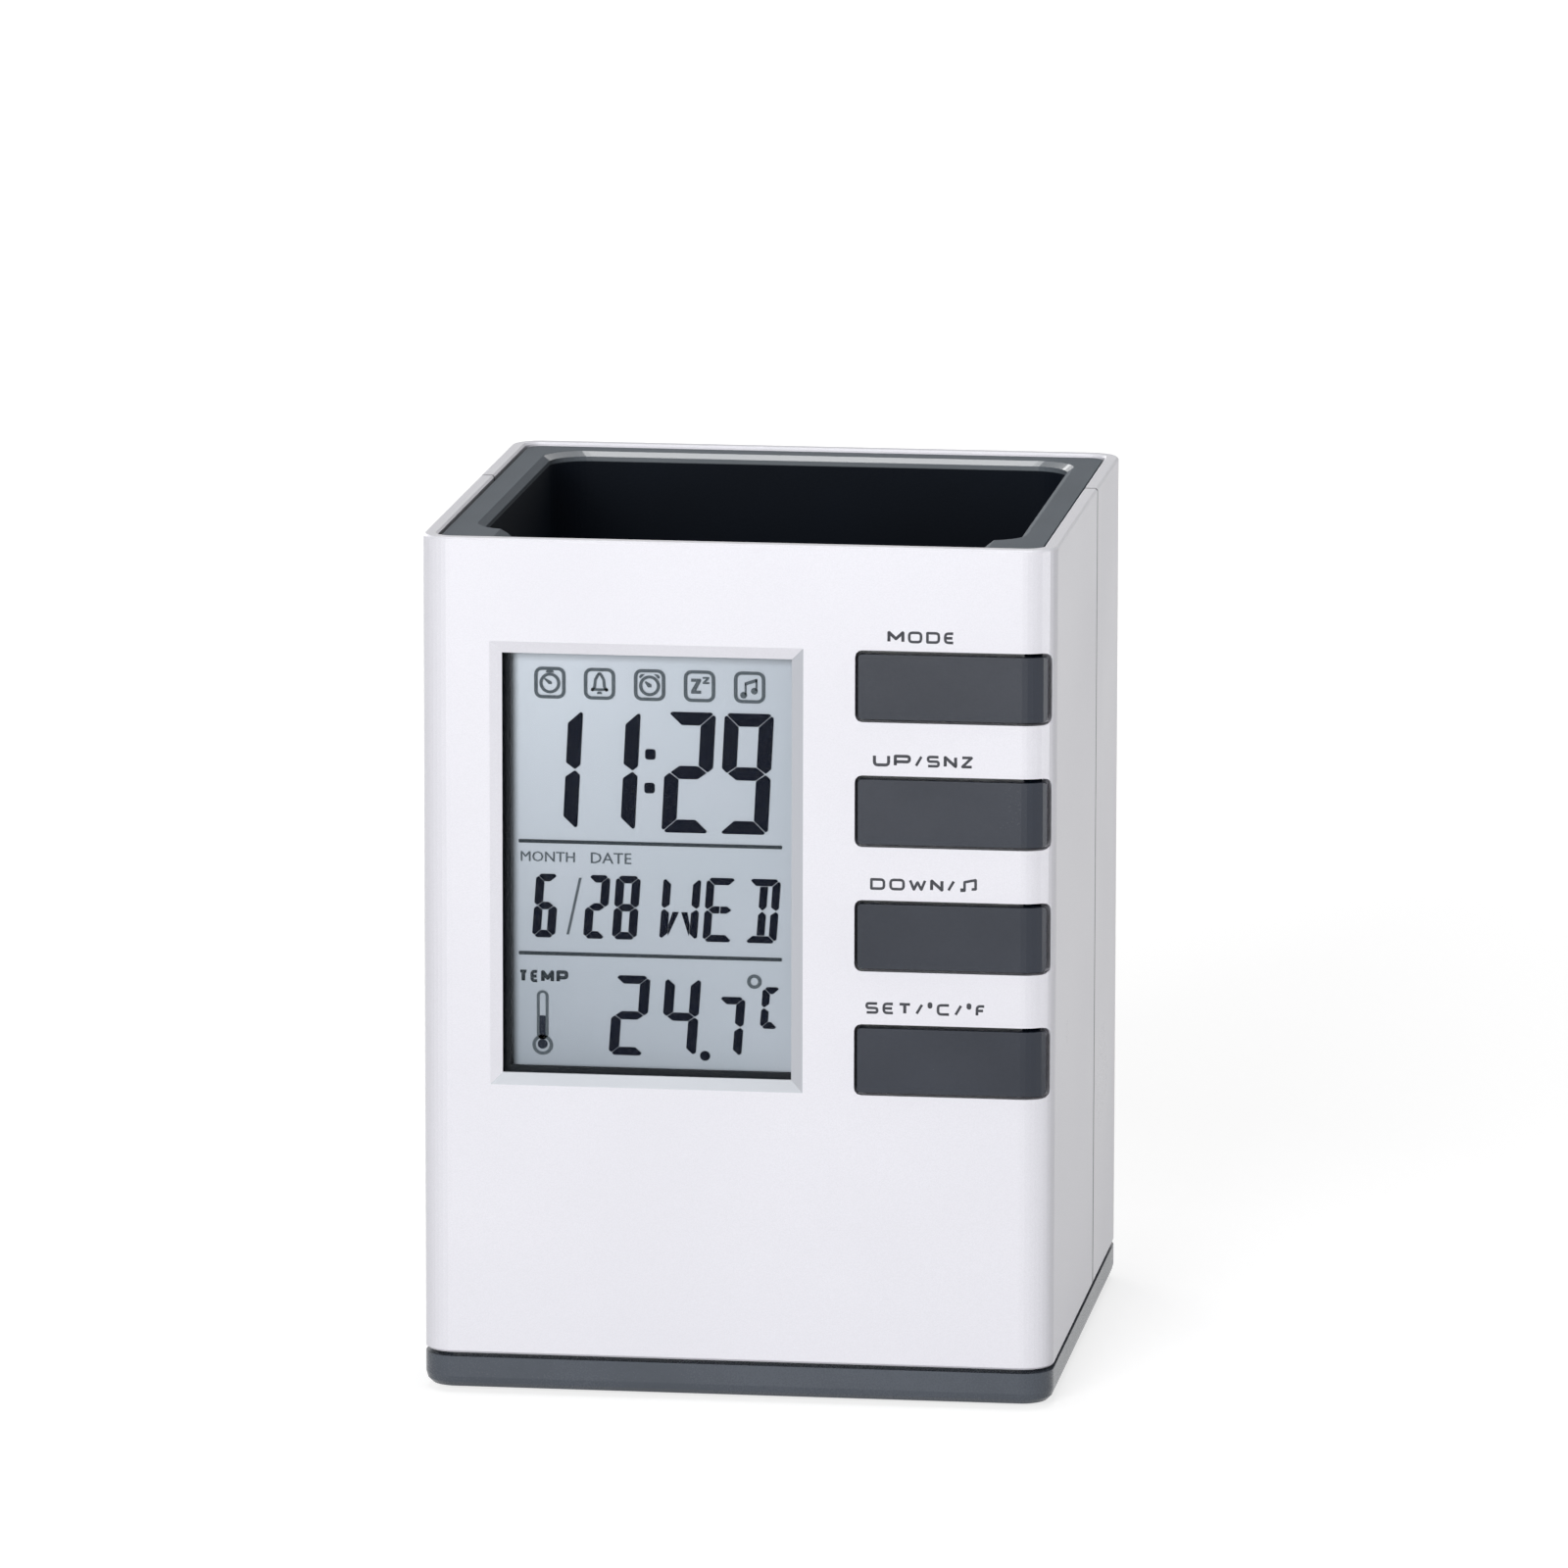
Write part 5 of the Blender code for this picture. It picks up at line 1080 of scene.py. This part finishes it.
class PENCLOCK_OT_power(bpy.types.Operator):
    """Finish the cells, their contacts, springs and leads"""

    bl_idname = "pen_clock.power"
    bl_label = "Cells and leads"

    def execute(self, context):
        for cell in ("front_cell", "rear_cell"):
            put_on(cell_wrap(cell), cell)
        wire = metal("spring_wire", (0.62, 0.61, 0.58), 0.2, (8, 8, 1))
        put_on(wire, "link_spring", "negative_spring")
        plate = metal("contact_plate", (0.62, 0.61, 0.58), 0.26)
        put_on(plate, "link_contact", "negative_contact", "positive_contact")
        put_on(moulded("red_lead_cover", (0.48, 0.02, 0.015), 0.4, 0.0008, 0.00001), "red_lead")
        put_on(moulded("black_lead_cover", (0.015, 0.015, 0.016), 0.4, 0.0008, 0.00001), "black_lead")
        return {"FINISHED"}


class PENCLOCK_OT_stage(bpy.types.Operator):
    """Set the floor, surroundings, lamps and camera"""

    bl_idname = "pen_clock.stage"
    bl_label = "Stage"

    def execute(self, context):
        stage = settings(context)[3]
        self.set_floor(stage)
        self.set_surroundings(context, stage)
        for name, place, size in LAMPS:
            self.add_lamp(f"{name}_lamp", place, size, getattr(stage, f"{name}_power"))
        self.set_camera(context, stage)
        context.scene.view_settings.view_transform = "Standard"
        return {"FINISHED"}

    def set_floor(self, stage):
        """A plain floor that looks as bright as the surroundings."""
        bm = bmesh.new()
        bmesh.ops.create_grid(bm, x_segments=1, y_segments=1, size=FLOOR_HALF)
        mesh = bpy.data.meshes.new("floor")
        bm.to_mesh(mesh)
        bm.free()
        f = Finish("floor_paper")
        fibres = f.noise(0.0015, 3)
        tone = f.varied(fibres, stage.floor, 0.985, 1.015)
        away = f.add("ShaderNodeVectorMath", {0: f.place}, operation="LENGTH").outputs["Value"]
        lift = f.ranged(away, stage.floor_lift, stage.floor_lift_far, FLOOR_NEAR, FLOOR_FAR)
        lift = f.times(f.seen(), lift)
        paper = f.add("ShaderNodeBsdfDiffuse", {"Color": tone}).outputs[0]
        glow = f.add("ShaderNodeEmission", {"Color": (1, 1, 1, 1), "Strength": lift}).outputs[0]
        mesh.materials.append(f.shown(f.add("ShaderNodeAddShader", {0: paper, 1: glow})))
        floor = in_scene("floor", mesh)

    def set_surroundings(self, context, stage):
        """A plain world, white where it is seen and dim as a light."""
        world = bpy.data.worlds.new("surroundings")
        world.use_nodes = True
        background = world.node_tree.nodes["Background"]
        background.inputs["Color"].default_value = (1, 1, 1, 1)
        nodes = Nodes(world.node_tree)
        level = nodes.ranged(nodes.seen(), stage.surroundings, 1.0, 0.0, 1.0)
        nodes.tree.links.new(level, background.inputs["Strength"])
        context.scene.world = world

    def add_lamp(self, name, place, size, watts):
        """A soft lamp with a width and a height, aimed at the clock."""
        light = bpy.data.lights.new(name, "AREA")
        light.shape = "RECTANGLE"
        light.energy = watts
        light.size, light.size_y = size
        lamp = in_scene(name, light)
        lamp.visible_camera = False
        lamp.location = place
        aim = Vector(LAMP_AIM) - Vector(place)
        lamp.rotation_euler = aim.to_track_quat("-Z", "Y").to_euler()

    def set_camera(self, context, stage):
        """The camera, placed and turned by the settings."""
        data = bpy.data.cameras.new("camera")
        data.lens = stage.camera_lens
        data.sensor_width = SENSOR_WIDTH
        data.clip_start, data.clip_end = 0.05, 30.0
        camera = in_scene("camera", data)
        turn = Matrix.Rotation(stage.camera_turn, 4, "Z")
        dip = Matrix.Rotation(math.pi / 2 - stage.camera_dip, 4, "X")
        roll = Matrix.Rotation(stage.camera_roll, 4, "Z")
        camera.matrix_world = Matrix.Translation(stage.camera_place) @ turn @ dip @ roll
        context.scene.camera = camera


OPERATORS = (
    PENCLOCK_OT_housing,
    PENCLOCK_OT_cup,
    PENCLOCK_OT_base,
    PENCLOCK_OT_keys,
    PENCLOCK_OT_labels,
    PENCLOCK_OT_display,
    PENCLOCK_OT_time,
    PENCLOCK_OT_date,
    PENCLOCK_OT_temperature,
    PENCLOCK_OT_marks,
    PENCLOCK_OT_circuit,
    PENCLOCK_OT_power,
    PENCLOCK_OT_stage,
)


class PENCLOCK_PT_panel(bpy.types.Panel):
    """The clock's pieces and settings in the sidebar"""

    bl_idname = "PENCLOCK_PT_panel"
    bl_label = "Pen holder clock"
    bl_space_type = "VIEW_3D"
    bl_region_type = "UI"
    bl_category = "Pen Clock"

    def draw(self, context):
        for operator in OPERATORS:
            self.layout.operator(operator.bl_idname)
        for group in settings(context):
            box = self.layout.box()
            for name in group.bl_rna.properties.keys():
                if name not in ("rna_type", "name"):
                    box.prop(group, name)


GROUPS = {
    "clock_colours": ClockColours,
    "clock_display": DisplaySizes,
    "clock_labels": LabelSizes,
    "clock_stage": StageSettings,
}


def register():
    for group in GROUPS.values():
        bpy.utils.register_class(group)
    for name, group in GROUPS.items():
        setattr(bpy.types.Scene, name, bpy.props.PointerProperty(type=group))
    for operator in OPERATORS:
        bpy.utils.register_class(operator)
    bpy.utils.register_class(PENCLOCK_PT_panel)


def unregister():
    bpy.utils.unregister_class(PENCLOCK_PT_panel)
    for operator in reversed(OPERATORS):
        bpy.utils.unregister_class(operator)
    for name in GROUPS:
        delattr(bpy.types.Scene, name)
    for group in reversed(GROUPS.values()):
        bpy.utils.unregister_class(group)


def main():
    register()
    for operator in OPERATORS:
        group, name = operator.bl_idname.split(".")
        getattr(getattr(bpy.ops, group), name)()


if __name__ == "__main__":
    main()
